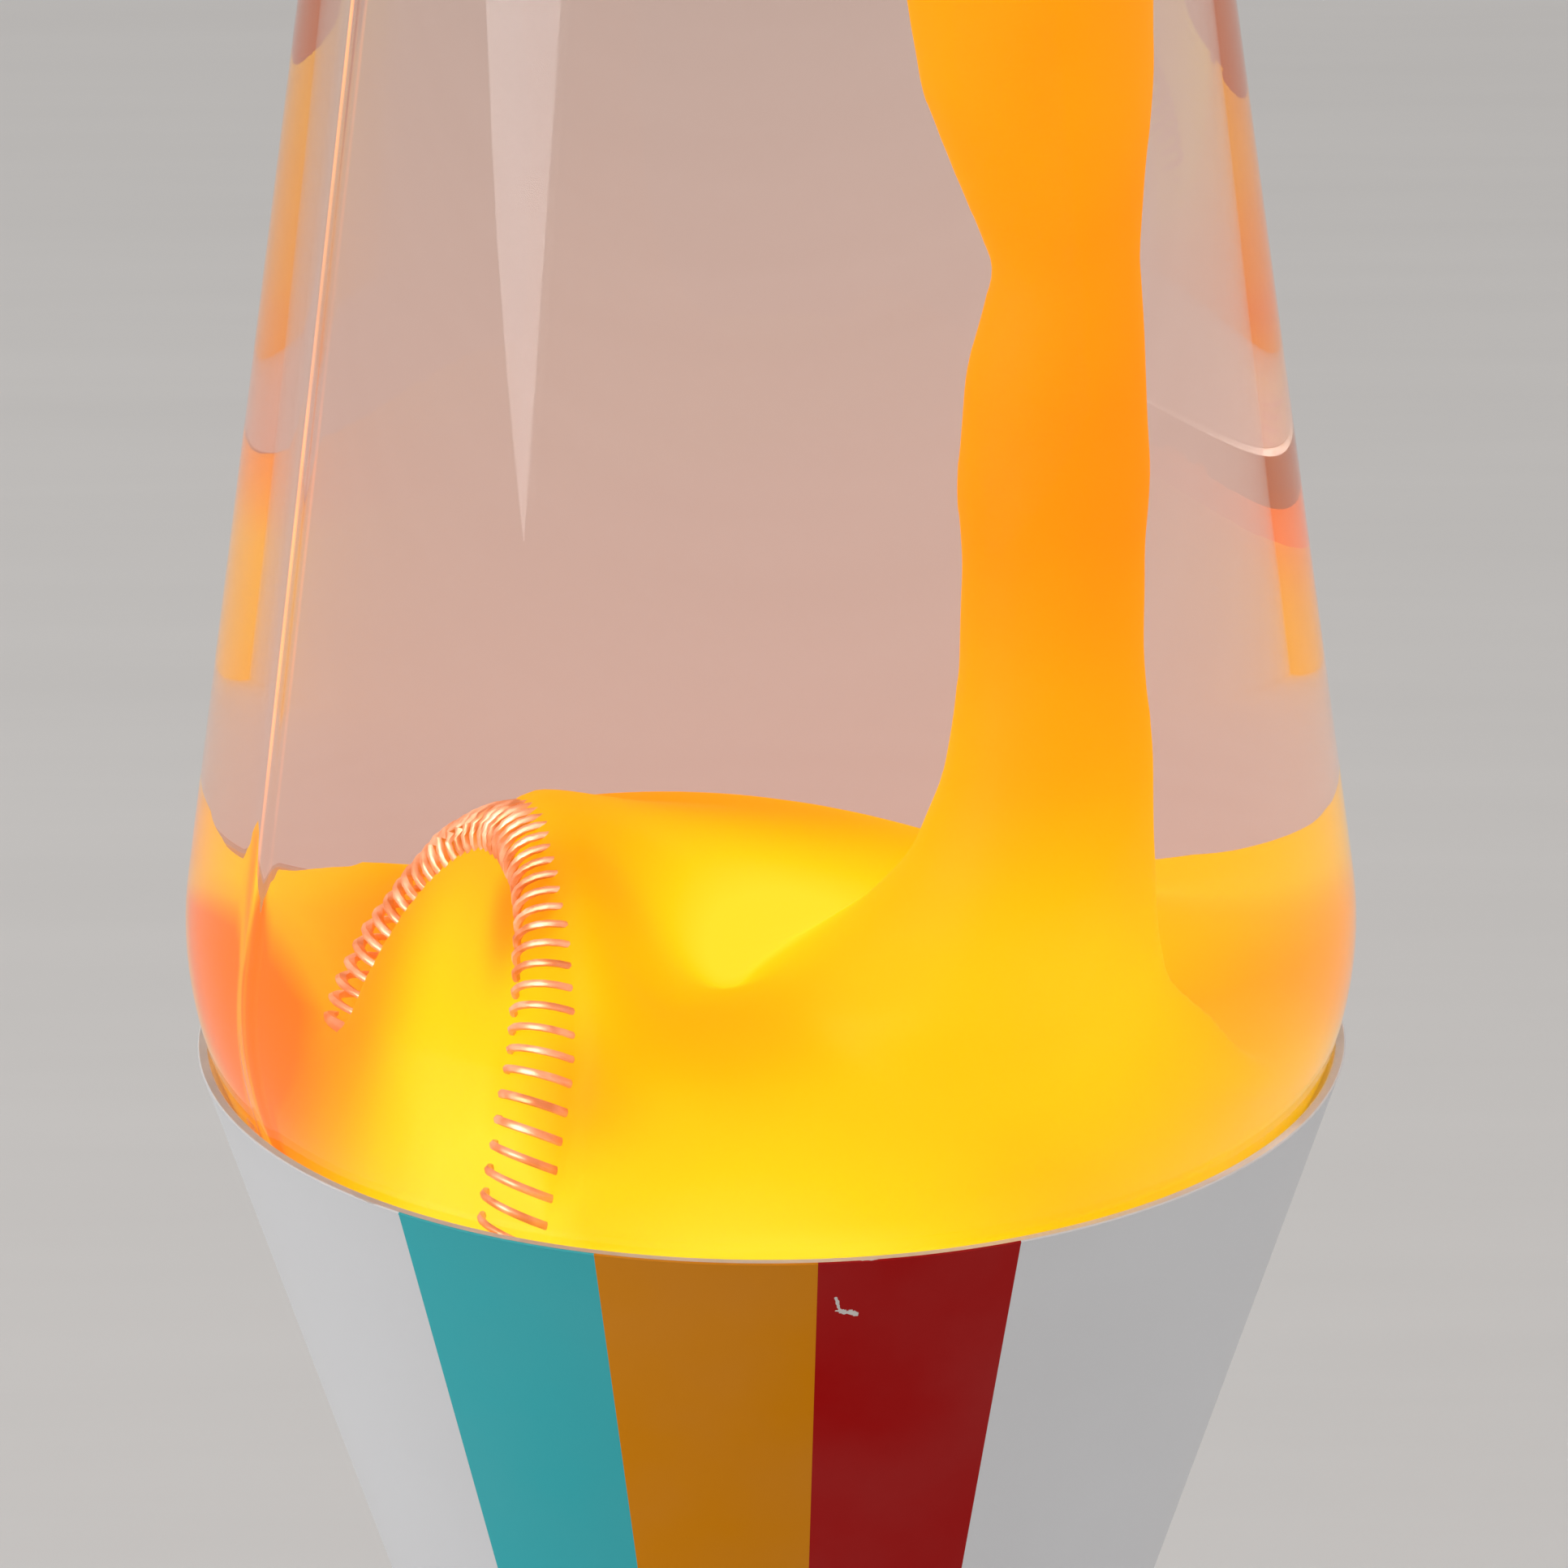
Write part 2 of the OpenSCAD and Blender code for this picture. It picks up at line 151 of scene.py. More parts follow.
def soft_box(name, corner, heading, width, height, roll, radiance):
    """A soft box that faces the lamp, its lower corner nearest the front at that point."""
    aside = Vector((-cos(heading), sin(heading), 0))
    along = aside * cos(roll) + Vector((0, 0, sin(roll)))
    upward = Vector((0, 0, cos(roll))) - aside * sin(roll)
    centre = Vector(corner) + along * width / 2 + upward * height / 2
    light = bpy.data.lights.new(name, "AREA")
    light.shape = "RECTANGLE"
    light.size, light.size_y = width, height
    light.energy = radiance * width * height * pi
    box = bpy.data.objects.new(name, light)
    if along.cross(upward).dot(centre) < 0:
        along = -along
    axes = Matrix((along, upward, along.cross(upward))).transposed()
    box.matrix_world = Matrix.Translation(centre) @ axes.to_4x4()
    scene.collection.objects.link(box)
    return box


def studio_camera():
    """The camera stands about twelve and a half rim radii away, and looks a little past the axis."""
    distance = 12.59 * rim_r
    rise, look_down = radians(22.55), radians(20.62)
    aside, roll = radians(-0.1155), radians(-0.22)
    camera = bpy.data.objects.new("camera", bpy.data.cameras.new("camera"))
    camera.data.sensor_width = 36.0
    camera.data.lens = 165.4
    camera.data.clip_start = 0.01
    camera.matrix_world = (
        Matrix.Translation((0, -distance * cos(rise), rim_z + distance * sin(rise)))
        @ Matrix.Rotation(aside, 4, "Z")
        @ Matrix.Rotation(pi / 2 - look_down, 4, "X")
        @ Matrix.Rotation(roll, 4, "Z"))
    scene.collection.objects.link(camera)
    scene.camera = camera


table_top()
studio_camera()
left_box = (radians(60), 1.0, 1.2, radians(14))
key_light = soft_box("left_soft_box", (-0.98, -0.76, 0.155), *left_box, 2.6)
key_light.visible_glossy = False
# The gleam's box stands a little nearer, because two boxes in one place hide each other
gleam = soft_box("left_sheen", (-0.965, -0.751, 0.155), *left_box, 10.5)
gleam.visible_diffuse = False
fill = soft_box("right_soft_box", (1.5, -0.35, 0.12), radians(-80), 0.9, 1.0, 0.0, 1.8)
fill.visible_glossy = False

# ---- Base cones
# Two cones of spun aluminium, pressed together at the waist and painted white with
# three printed stripes at the front and three at the back. The rim is a bare cut edge.
foot_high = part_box("foot_ring")[1].z
waist_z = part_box("lower_cone")[1].z
foot_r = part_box("lower_cone")[1].x
cone_slope = 0.315
wall = 0.001
crimp = 0.007
waist_r = rim_r - (rim_z - waist_z) * cone_slope
collar_z = waist_z - crimp

first_stripe = radians(-38.4)
stripe = radians(20.65)
white = (0.66, 0.67, 0.69)
teal = (0.045, 0.41, 0.455)
ochre = (0.62, 0.215, 0.0005)
red = (0.345, 0.002, 0.002)


def solid(name, points, faces, sharp=30):
    """A mesh object, shaded smooth but for edges sharper than that many degrees."""
    mesh = bpy.data.meshes.new(name)
    mesh.from_pydata([tuple(p) for p in points], [], faces)
    piece = bpy.data.objects.new(name, mesh)
    scene.collection.objects.link(piece)
    mesh.shade_smooth()
    mesh.set_sharp_from_angle(angle=radians(sharp))
    return piece


def lathe(name, outline, turns, closed=True):
    """A round piece about the lamp's axis, from (radius, height) points in order. A closed
    outline's last point joins its first."""
    points, rings, faces = [], [], []
    for r, z in outline:
        if r < 1e-6:
            rings.append([len(points)] * turns)
            points.append((0, 0, z))
        else:
            rings.append(list(range(len(points), len(points) + turns)))
            points += [(r * cos(2 * pi * i / turns), r * sin(2 * pi * i / turns), z)
                       for i in range(turns)]
    pairs = list(zip(rings, rings[1:]))
    if closed and outline[0][0] > 1e-6:
        pairs.append((rings[-1], rings[0]))
    for lower, upper in pairs:
        for i in range(turns):
            j = (i + 1) % turns
            corners = [lower[i], lower[j], upper[j], upper[i]]
            corners = [c for k, c in enumerate(corners) if c not in corners[:k]]
            if len(corners) > 2:
                faces.append(corners)
    return solid(name, points, faces)


def arc(x, z, r, start, end, steps):
    """Points of an arc in an outline, from one angle to another in degrees."""
    return [(x + r * cos(radians(start + (end - start) * i / steps)),
             z + r * sin(radians(start + (end - start) * i / steps))) for i in range(steps + 1)]


def place(piece, body, node, slot, material):
    """Puts a piece on its body in place of its CAD node, with its finish."""
    piece.data.materials.clear()
    piece.data.materials.append(material)
    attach(piece, body)
    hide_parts(node)
    return piece


def new_group(name, inputs, outputs):
    """A shader node group with its named sockets, and its two end nodes."""
    group = bpy.data.node_groups.new(name, "ShaderNodeTree")
    for label, kind, value in inputs:
        socket = group.interface.new_socket(label, in_out="INPUT", socket_type="NodeSocket" + kind)
        if value is not None:
            socket.default_value = value
    for label, kind in outputs:
        group.interface.new_socket(label, in_out="OUTPUT", socket_type="NodeSocket" + kind)
    return group, group.nodes.new("NodeGroupInput"), group.nodes.new("NodeGroupOutput")


def use_group(tree, group, **settings):
    """Places a node group in a material, with its inputs wired or filled."""
    node = tree.nodes.new("ShaderNodeGroup")
    node.node_tree = group
    for label, value in settings.items():
        socket = node.inputs[label.replace("_", " ").capitalize()]
        if isinstance(value, bpy.types.NodeSocket):
            tree.links.new(value, socket)
        else:
            socket.default_value = value
    return node


def math_node(tree, operation, a, b=0.0, c=0.0):
    """One Math node with its inputs wired or filled; gives back its output."""
    return add_node(tree, "ShaderNodeMath", operation=operation, i0=a, i1=b, i2=c).outputs[0]


def spread(tree, value, low, high, to_low, to_high):
    """Moves a value from one range to another, and stops it at the ends."""
    return add_node(tree, "ShaderNodeMapRange", i0=value, i1=low, i2=high, i3=to_low,
                    i4=to_high).outputs[0]


def colour_mix(tree, factor, first, second):
    """One colour laid over another by a mask."""
    node = tree.nodes.new("ShaderNodeMix")
    node.data_type = "RGBA"
    for number, value in ((0, factor), (6, first), (7, second)):
        socket = node.inputs[number]
        if isinstance(value, bpy.types.NodeSocket):
            tree.links.new(value, socket)
        elif isinstance(value, tuple):
            socket.default_value = (*value, 1)
        else:
            socket.default_value = value
    return node.outputs[2]


def bump(tree, height, strength, distance):
    """A Bump node's normal. The distance is the relief's depth in metres."""
    return add_node(tree, "ShaderNodeBump", strength=strength, distance=distance,
                    height=height).outputs["Normal"]


def level(tree, point):
    """The height of a point on the piece, in metres."""
    return add_node(tree, "ShaderNodeSeparateXYZ", i0=point).outputs[2]


# Three stripes of paint at the front and three at the back, by the angle round the axis
stripes, stripes_in, stripes_out = new_group(
    "printed_stripes", [("Point", "Vector", None)], [("Color", "Color")])
split = add_node(stripes, "ShaderNodeSeparateXYZ", i0=stripes_in.outputs["Point"])
behind = math_node(stripes, "MULTIPLY", split.outputs[1], -1.0)
turn = math_node(stripes, "ARCTAN2", split.outputs[0], behind)
share = math_node(stripes, "MULTIPLY_ADD", turn, 1 / (2 * pi), 0.5)
first = first_stripe / (2 * pi) + 0.5
step = stripe / (2 * pi)
stripes.links.new(colour_ramp(stripes, share, [
    (0.0, ochre), (first + 0.5 + 2 * step - 1, red), (first + 0.5 + 3 * step - 1, white),
    (first, teal), (first + step, ochre), (first + 2 * step, red), (first + 3 * step, white),
    (first + 0.5, teal), (first + 0.5 + step, ochre)], "CONSTANT"), stripes_out.inputs["Color"])

# Chipped paint along a cut edge: a mask of small irregular bites that reach a short way
chips, chips_in, chips_out = new_group(
    "edge_chips", [("Point", "Vector", None), ("Edge height", "Float", 0.17),
                   ("Reach", "Float", 0.0006), ("Amount", "Float", 0.5)], [("Mask", "Float")])
height = level(chips, chips_in.outputs["Point"])
from_edge = math_node(chips, "ABSOLUTE", math_node(
    chips, "SUBTRACT", chips_in.outputs["Edge height"], height))
near = math_node(chips, "DIVIDE", from_edge, chips_in.outputs["Reach"])
how_many = math_node(chips, "MULTIPLY_ADD", chips_in.outputs["Amount"], 4.0, -5.2)
crumbs = noise_value(chips, chips_in.outputs["Point"], 95.0, 5.0, 0.6)
bites = math_node(chips, "MULTIPLY_ADD", crumbs, 6.0, how_many)
chips.links.new(math_node(chips, "GREATER_THAN", bites, near), chips_out.inputs["Mask"])

# Fine orange peel and dust of sprayed paint: a height and a roughness
peel, peel_in, peel_out = new_group(
    "orange_peel", [("Point", "Vector", None), ("Gloss", "Float", 0.25)],
    [("Height", "Float"), ("Roughness", "Float")])
fine = noise_value(peel, peel_in.outputs["Point"], 900.0, 2.0)
broad = noise_value(peel, peel_in.outputs["Point"], 60.0, 3.0)
peel.links.new(math_node(peel, "MULTIPLY_ADD", broad, 2.0, fine), peel_out.inputs["Height"])
peel.links.new(math_node(peel, "MULTIPLY_ADD", broad, 0.12, peel_in.outputs["Gloss"]),
               peel_out.inputs["Roughness"])

# The bare inner face of a spun shell: everything under its lid and deeper than its paint
inside, inside_in, inside_out = new_group(
    "inner_face", [("Point", "Vector", None), ("Radius", "Float", 0.05), ("Height", "Float", 0.17),
                   ("Slope", "Float", 0.3), ("Lid height", "Float", 1.0)], [("Mask", "Float")])
split = add_node(inside, "ShaderNodeSeparateXYZ", i0=inside_in.outputs["Point"])
x2 = math_node(inside, "MULTIPLY", split.outputs[0], split.outputs[0])
reach2 = math_node(inside, "MULTIPLY_ADD", split.outputs[1], split.outputs[1], x2)
rise = math_node(inside, "SUBTRACT", split.outputs[2], inside_in.outputs["Height"])
skin_r = math_node(inside, "MULTIPLY_ADD", rise, inside_in.outputs["Slope"], inside_in.outputs["Radius"])
depth = math_node(inside, "SUBTRACT", skin_r, math_node(inside, "SQRT", reach2))
paint_t = 0.00016
under_lid = math_node(inside, "LESS_THAN", split.outputs[2], inside_in.outputs["Lid height"])
under_paint = math_node(inside, "GREATER_THAN", depth, paint_t)
inside.links.new(math_node(inside, "MULTIPLY", under_lid, under_paint), inside_out.inputs["Mask"])

# A scratch: a ragged line of bare metal from one point to another
scratch, scratch_in, scratch_out = new_group(
    "scratch_line", [("Point", "Vector", None), ("Start", "Vector", None), ("Finish", "Vector", None),
                     ("Width", "Float", 0.0002)], [("Mask", "Float")])
from_start = vector_node(scratch, "SUBTRACT", scratch_in.outputs["Point"], scratch_in.outputs["Start"])
whole_line = vector_node(scratch, "SUBTRACT", scratch_in.outputs["Finish"], scratch_in.outputs["Start"])
along_line = vector_node(scratch, "DOT_PRODUCT", from_start, whole_line)
line_square = vector_node(scratch, "DOT_PRODUCT", whole_line, whole_line)
part_way = add_node(scratch, "ShaderNodeMath", operation="DIVIDE", use_clamp=True, i0=along_line,
                    i1=line_square).outputs[0]
nearest = add_node(scratch, "ShaderNodeVectorMath", operation="SCALE", i0=whole_line,
                   scale=part_way).outputs[0]
apart = vector_node(scratch, "DISTANCE", from_start, nearest)
ragged = math_node(
    scratch, "MULTIPLY_ADD", noise_value(scratch, scratch_in.outputs["Point"], 2600.0), 2.6, -0.45)
ragged_width = math_node(scratch, "MULTIPLY", ragged, scratch_in.outputs["Width"])
scratch.links.new(math_node(scratch, "LESS_THAN", apart, ragged_width), scratch_out.inputs["Mask"])

# Spun or rolled metal: tone, roughness and height that run round the piece as fine rings
spun, spun_in, spun_out = new_group(
    "spun_metal", [("Point", "Vector", None), ("Rings", "Float", 900.0), ("Gloss", "Float", 0.3)],
    [("Tone", "Float"), ("Roughness", "Float"), ("Height", "Float")])
flat = vector_node(spun, "MULTIPLY", spun_in.outputs["Point"], (0.06, 0.06, 1.0))
rings = noise_value(spun, flat, spun_in.outputs["Rings"], 4.0, 0.7)
blotches = noise_value(spun, spun_in.outputs["Point"], 70.0, 4.0)
tone = math_node(spun, "MULTIPLY_ADD", rings, 0.4, math_node(spun, "MULTIPLY", blotches, 0.6))
rough = math_node(spun, "MULTIPLY_ADD", rings, 0.1, math_node(
    spun, "SUBTRACT", spun_in.outputs["Gloss"], 0.17))
spun.links.new(tone, spun_out.inputs["Tone"])
spun.links.new(math_node(spun, "MULTIPLY_ADD", blotches, 0.25, rough), spun_out.inputs["Roughness"])
spun.links.new(rings, spun_out.inputs["Height"])


def painted(name, radius, height, slope, edge, chip_reach, chip_amount, scratches=(), lid=1.0):
    """Striped paint outside, with chips along a cut edge, and bare spun metal inside. The
    outside has that radius at that height, and widens upward by the slope."""
    material, shader = new_material(name)
    tree = material.node_tree
    point = object_point(tree)
    colour = use_group(tree, stripes, Point=point).outputs["Color"]
    dust = noise_value(tree, point, 35.0, 4.0)
    colour = colour_mix(tree, spread(tree, dust, 0.35, 0.75, 0.0, 0.06), colour, (0.40, 0.38, 0.36))
    bare = use_group(tree, chips, Point=point, Edge_height=edge, Reach=chip_reach,
                     Amount=chip_amount).outputs["Mask"]
    for start, finish, width in scratches:
        line = use_group(tree, scratch, Point=point, Start=start, Finish=finish, Width=width)
        bare = math_node(tree, "MAXIMUM", bare, line.outputs["Mask"])
    within = use_group(tree, inside, Point=point, Radius=radius, Height=height, Slope=slope,
                       Lid_height=lid)
    metal = use_group(tree, spun, Point=point, Gloss=0.42)
    bare = math_node(tree, "MAXIMUM", bare, within.outputs["Mask"])
    raw = colour_ramp(tree, metal.outputs["Tone"], [(0.3, (0.50, 0.47, 0.45)), (0.7, (0.66, 0.63, 0.60))])
    sprayed = use_group(tree, peel, Point=point, Gloss=0.28)
    give(material, shader, {
        "Base Color": colour_mix(tree, bare, colour, raw),
        "Metallic": math_node(tree, "MULTIPLY", within.outputs["Mask"], 0.6),
        "Roughness": math_node(tree, "MULTIPLY_ADD", bare, 0.16, sprayed.outputs["Roughness"]),
        "Specular IOR Level": 0.02,
        "Normal": bump(tree, sprayed.outputs["Height"], 0.10, 0.00005),
    })
    return material


def upper_cone():
    """The cone round the bottle, with a short collar that is pressed into the lower one."""
    step_r = waist_r - wall
    soft, rows = 0.00012, 12
    outline = (
        [(step_r - wall, collar_z + wall), (step_r, collar_z + wall), (step_r, waist_z),
         (waist_r - soft, waist_z), (waist_r + cone_slope * soft, waist_z + soft)]
        + [(waist_r + (rim_r - waist_r) * i / rows, waist_z + (rim_z - waist_z) * i / rows)
           for i in range(1, rows)]
        + [(rim_r - cone_slope * soft * 3, rim_z - 3 * soft), (rim_r, rim_z - soft),
           (rim_r - soft, rim_z), (rim_r - wall + soft, rim_z), (rim_r - wall, rim_z - soft),
           (step_r - wall, waist_z + wall)])
    return lathe("upper_cone_shell", outline, 256)


def on_cone(aside, z):
    """A point on the front of the upper cone, that far to the right, at a height."""
    r = rim_r - (rim_z - z) * cone_slope
    return (aside, -sqrt(r * r - aside * aside), z)


# A small hooked scratch under the rim, in two straight parts
scratch_top, scratch_bend = on_cone(0.0054, 0.1661), on_cone(0.0057, 0.1647)
scratch_end = on_cone(0.0070, 0.1643)
paint = painted("striped_paint", rim_r, rim_z, cone_slope, rim_z, 0.00034, 0.32,
                [(scratch_top, scratch_bend, 0.00016), (scratch_bend, scratch_end, 0.0003)])
place(upper_cone(), "base", "upper_cone", "cone_paint", paint)


def carved(piece, tool):
    """Cuts one closed mesh out of another, and drops the cutting tool."""
    cut = piece.modifiers.new("cut", "BOOLEAN")
    cut.operation, cut.solver, cut.object = "DIFFERENCE", "EXACT", tool
    shown = piece.evaluated_get(bpy.context.evaluated_depsgraph_get())
    mesh = bpy.data.meshes.new_from_object(shown)
    piece.modifiers.clear()
    piece.data = mesh
    bpy.data.objects.remove(tool)
    mesh.set_sharp_from_angle(angle=radians(30))
    return piece


def turned(piece, centre, axis):
    """Moves a lathed piece's mesh so that its own upright axis lies along another."""
    turn_to = Vector((0, 0, 1)).rotation_difference(Vector(axis)).to_matrix().to_4x4()
    piece.data.transform(Matrix.Translation(centre) @ turn_to)
    return piece


cord_hole = next(m for m in frame["record"]["mounts"] if m["name"] == "cord_hole")
cord_axis = Vector(cord_hole["axis"]).normalized()
entry_r = 0.005
# The cone's outer face, a little out from where the record has the hole
cord_entry = Vector(cord_hole["pos_m"]) + cord_axis * 0.0007
lower_slope = (foot_r - waist_r) / (collar_z - foot_high)


def lower_cone():
    """The cone down to the foot, with a soft fold where the flange turns in."""
    fold, soft, flange = 0.0012, 0.0003, 0.009
    outline = (
        [(foot_r - flange, foot_high), (foot_r - fold, foot_high)]
        + arc(foot_r - fold, foot_high + fold, fold, -90, 0, 6)
        + [(waist_r + (collar_z - z) * lower_slope, z) for z in
           (foot_high + fold * i for i in (3, 12, 24, 36, 48, 60))]
        + [(waist_r + 0.0006, collar_z - 0.0018), (waist_r, collar_z), (waist_r, waist_z - soft),
           (waist_r - soft, waist_z), (waist_r - wall, waist_z), (waist_r - wall, collar_z),
           (foot_r - wall * 1.4, foot_high + wall), (foot_r - flange, foot_high + wall)])
    cone = lathe("lower_cone_shell", outline, 256)
    depth = 0.006
    drill = lathe("drill", [(0, -depth), (entry_r, -depth), (entry_r, depth), (0, depth)], 64, False)
    return carved(cone, turned(drill, cord_entry, cord_axis))


lower_paint = painted("striped_paint_lower", waist_r, collar_z, -lower_slope, waist_z, 0.0002, 0.1)
place(lower_cone(), "base", "lower_cone", "cone_paint", lower_paint)

# ---- Foot ring and cord grommet
# Two black rubber mouldings. The ring is stretched round the flange of the foot. The
# grommet's groove snaps into the hole at the back, where the cord would come out.
ring_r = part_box("foot_ring")[1].x


def mottled(tree, mottle, dark, light, smooth, rough, low=0.3, high=0.7):
    """Base colour and roughness that follow the same mottle."""
    return {"Base Color": colour_ramp(tree, mottle, [(low, dark), (high, light)]),
            "Roughness": spread(tree, mottle, 0.3, 0.7, smooth, rough)}


def black_rubber():
    """Dull black rubber with a fine grain and a little dust on it."""
    material, shader = new_material("black_rubber")
    tree = material.node_tree
    point = object_point(tree)
    dust = noise_value(tree, point, 120.0, 5.0, 0.6)
    give(material, shader, {
        **mottled(tree, dust, (0.016, 0.016, 0.017), (0.055, 0.052, 0.048), 0.55, 0.8, 0.4, 0.75),
        "Normal": bump(tree, noise_value(tree, point, 1800.0, 2.0), 0.3, 0.0001),
    })
    return material


def foot_ring():
    """The ring, with two fine grooves underneath for grip."""
    inner, edge, deep, outer_curve = ring_r - 0.0035, 0.0003, 0.0004, 0.001
    grooves = [(inner + d, h) for d, h in (
        (edge, 0), (0.0008, 0), (0.0009, deep), (0.0012, deep), (0.0013, 0), (0.0017, 0),
        (0.0018, deep), (0.0021, deep), (0.0022, 0))]
    outline = (grooves + arc(ring_r - outer_curve, outer_curve, outer_curve, -85, 0, 8)
               + arc(ring_r - edge, foot_high - edge, edge, 0, 90, 4)
               + arc(inner + edge, foot_high - edge, edge, 90, 180, 4) + [(inner, edge)])
    return lathe("rubber_foot_ring", outline, 192)


rubber = black_rubber()
place(foot_ring(), "base", "foot_ring", "black_rubber", rubber)


def cord_grommet():
    """The bush: a thin lip inside the cone, a groove, and a tapered collar outside."""
    bore, soft = 0.0032, 0.0003
    lip_r, collar_r, collar_curve = entry_r + 0.0012, entry_r + 0.0015, 0.0006
    inner_end, groove_low, groove_high, outer_end = -0.003, -0.0016, 0.0001, 0.0016
    outline = (
        [(bore + soft, inner_end), (lip_r - soft, inner_end), (lip_r, inner_end + soft),
         (lip_r, groove_low), (entry_r, groove_low), (entry_r, groove_high), (collar_r, groove_high)]
        + arc(collar_r - collar_curve, outer_end - collar_curve, collar_curve, 0, 90, 6)
        + [(bore + 2 * soft, outer_end)] + arc(bore + soft, outer_end - soft, soft, 90, 180, 4)
        + [(bore, inner_end + soft)])
    return turned(lathe("rubber_grommet", outline, 64), cord_entry, cord_axis)


place(cord_grommet(), "base", "cord_grommet", "black_rubber", rubber)

# ---- Base plate, bracket and their fixings
# A zinc-plated steel plate with air holes closes the foot. A bent steel strip riveted
# to it carries the lamp holder, and three self-tapping screws hold it to the flange.


def plain_metal(name, dark, light, rings, gloss):
    """A bare or plated metal with fine working marks and dull blotches."""
    material, shader = new_material(name)
    tree = material.node_tree
    point = object_point(tree)
    marks = use_group(tree, spun, Point=point, Rings=rings, Gloss=gloss)
    give(material, shader, {
        "Base Color": colour_ramp(tree, marks.outputs["Tone"], [(0.3, dark), (0.7, light)]),
        "Roughness": marks.outputs["Roughness"],
        "Metallic": 1.0,
        "Normal": bump(tree, marks.outputs["Height"], 0.15, 0.00004),
    })
    return material


def finish_node(node, material):
    """Gives a CAD node that already has its right shape a better material."""
    for material_slot in frame["nodes"][node].material_slots:
        material_slot.material = material


zinc = plain_metal("zinc_plated_steel", (0.44, 0.45, 0.46), (0.66, 0.67, 0.69), 1500.0, 0.38)
rivet_metal = plain_metal("rivet_aluminium", (0.60, 0.60, 0.61), (0.80, 0.80, 0.81), 2500.0, 0.35)
finish_node("base_plate", zinc)
finish_node("lamp_bracket", zinc)
finish_node("bracket_rivets", rivet_metal)


def screw(name, head_r, head_h, shank_r, length, pitch, cross):
    """A pan-head screw that points up, its head's underside at height 0."""
    steps_a_turn, root_r = 6, shank_r * 0.78
    flat_r, head_curve = head_r * 0.45, head_r * 0.55
    steps = int(length / pitch * steps_a_turn)
    shank = [(root_r if i % steps_a_turn in (0, 1) else shank_r, length * i / steps)
             for i in range(1, steps)]
    outline = ([(0, -head_h), (flat_r, -head_h)]
               + arc(flat_r, -head_h * 0.35, head_curve, -70, 0, 6)
               + [(head_r, 0), (shank_r, 0)] + shank + [(shank_r * 0.5, length), (0, length)])
    outline = [(r, max(z, -head_h)) for r, z in outline]
    piece = lathe(name, outline, 40, False)
    half, narrow, deep = head_r * (0.55 if cross else 1.2), head_r * 0.11, head_h * 0.5
    for size in ((half, narrow), (narrow, half))[:2 if cross else 1]:
        corners = [(size[0] * i, size[1] * j, z)
                   for i in (-1, 1) for j in (-1, 1) for z in (-head_h - 0.001, -head_h + deep)]
        blade = solid("blade", corners, [(0, 1, 3, 2), (4, 6, 7, 5), (0, 4, 5, 1), (2, 3, 7, 6),
                                         (0, 2, 6, 4), (1, 5, 7, 3)])
        piece = carved(piece, blade)
    return piece


def joined(name, pieces):
    """Several meshes as one piece. The override keeps other selected objects out of the join."""
    with bpy.context.temp_override(active_object=pieces[0], selected_editable_objects=pieces):
        bpy.ops.object.join()
    pieces[0].name = name
    return pieces[0]


def plate_screws():
    """Three cross-head screws up through the flange and the plate."""
    pitch_r, screws = foot_r - 0.006, []
    for angle in (radians(30), radians(150), radians(270)):
        one = screw("plate_screw", 0.0026, 0.0016, 0.00125, 0.0052, 0.0008, True)
        screws.append(turned(one, (pitch_r * cos(angle), pitch_r * sin(angle), foot_high), (0, 0, 1)))
    return joined("plate_screw_set", screws)


place(plate_screws(), "base", "base_plate_screws", "zinc_steel", zinc)

# ---- Lamp holder
# A moulded plastic cup on a hollow brass nipple, with a nut under the bracket's shelf,
# a rolled brass sleeve that takes the bulb's thread, a contact tongue and two screws.
holder_low, holder_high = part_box("socket_body")
holder_r = holder_high.x
shell_low, shell_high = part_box("socket_shell")
thread_pitch = 0.00282
brass = plain_metal("plain_brass", (0.55, 0.36, 0.12), (0.80, 0.58, 0.25), 2000.0, 0.33)
for node in ("socket_nipple", "socket_nut", "socket_contact"):
    finish_node(node, brass)


def moulded_plastic():
    """Cream thermoset plastic, a little browned near the top by the bulb's warmth."""
    material, shader = new_material("holder_plastic")
    tree = material.node_tree
    point = object_point(tree)
    browning_and_glow = math_node(tree, "ADD", spread(tree, level(tree, point), holder_low.z, holder_high.z, 0.0, 0.7),
                     spread(tree, noise_value(tree, point, 90.0), 0.3, 0.7, 0.0, 0.3))
    give(material, shader, {
        "Base Color": colour_ramp(tree, browning_and_glow, [(0.0, (0.72, 0.68, 0.58)), (1.0, (0.52, 0.41, 0.26))]),
        "Roughness": spread(tree, noise_value(tree, point, 300.0), 0.3, 0.7, 0.34, 0.5),
        "Normal": bump(tree, noise_value(tree, point, 1500.0, 2.0), 0.12, 0.00005),
    })
    return material


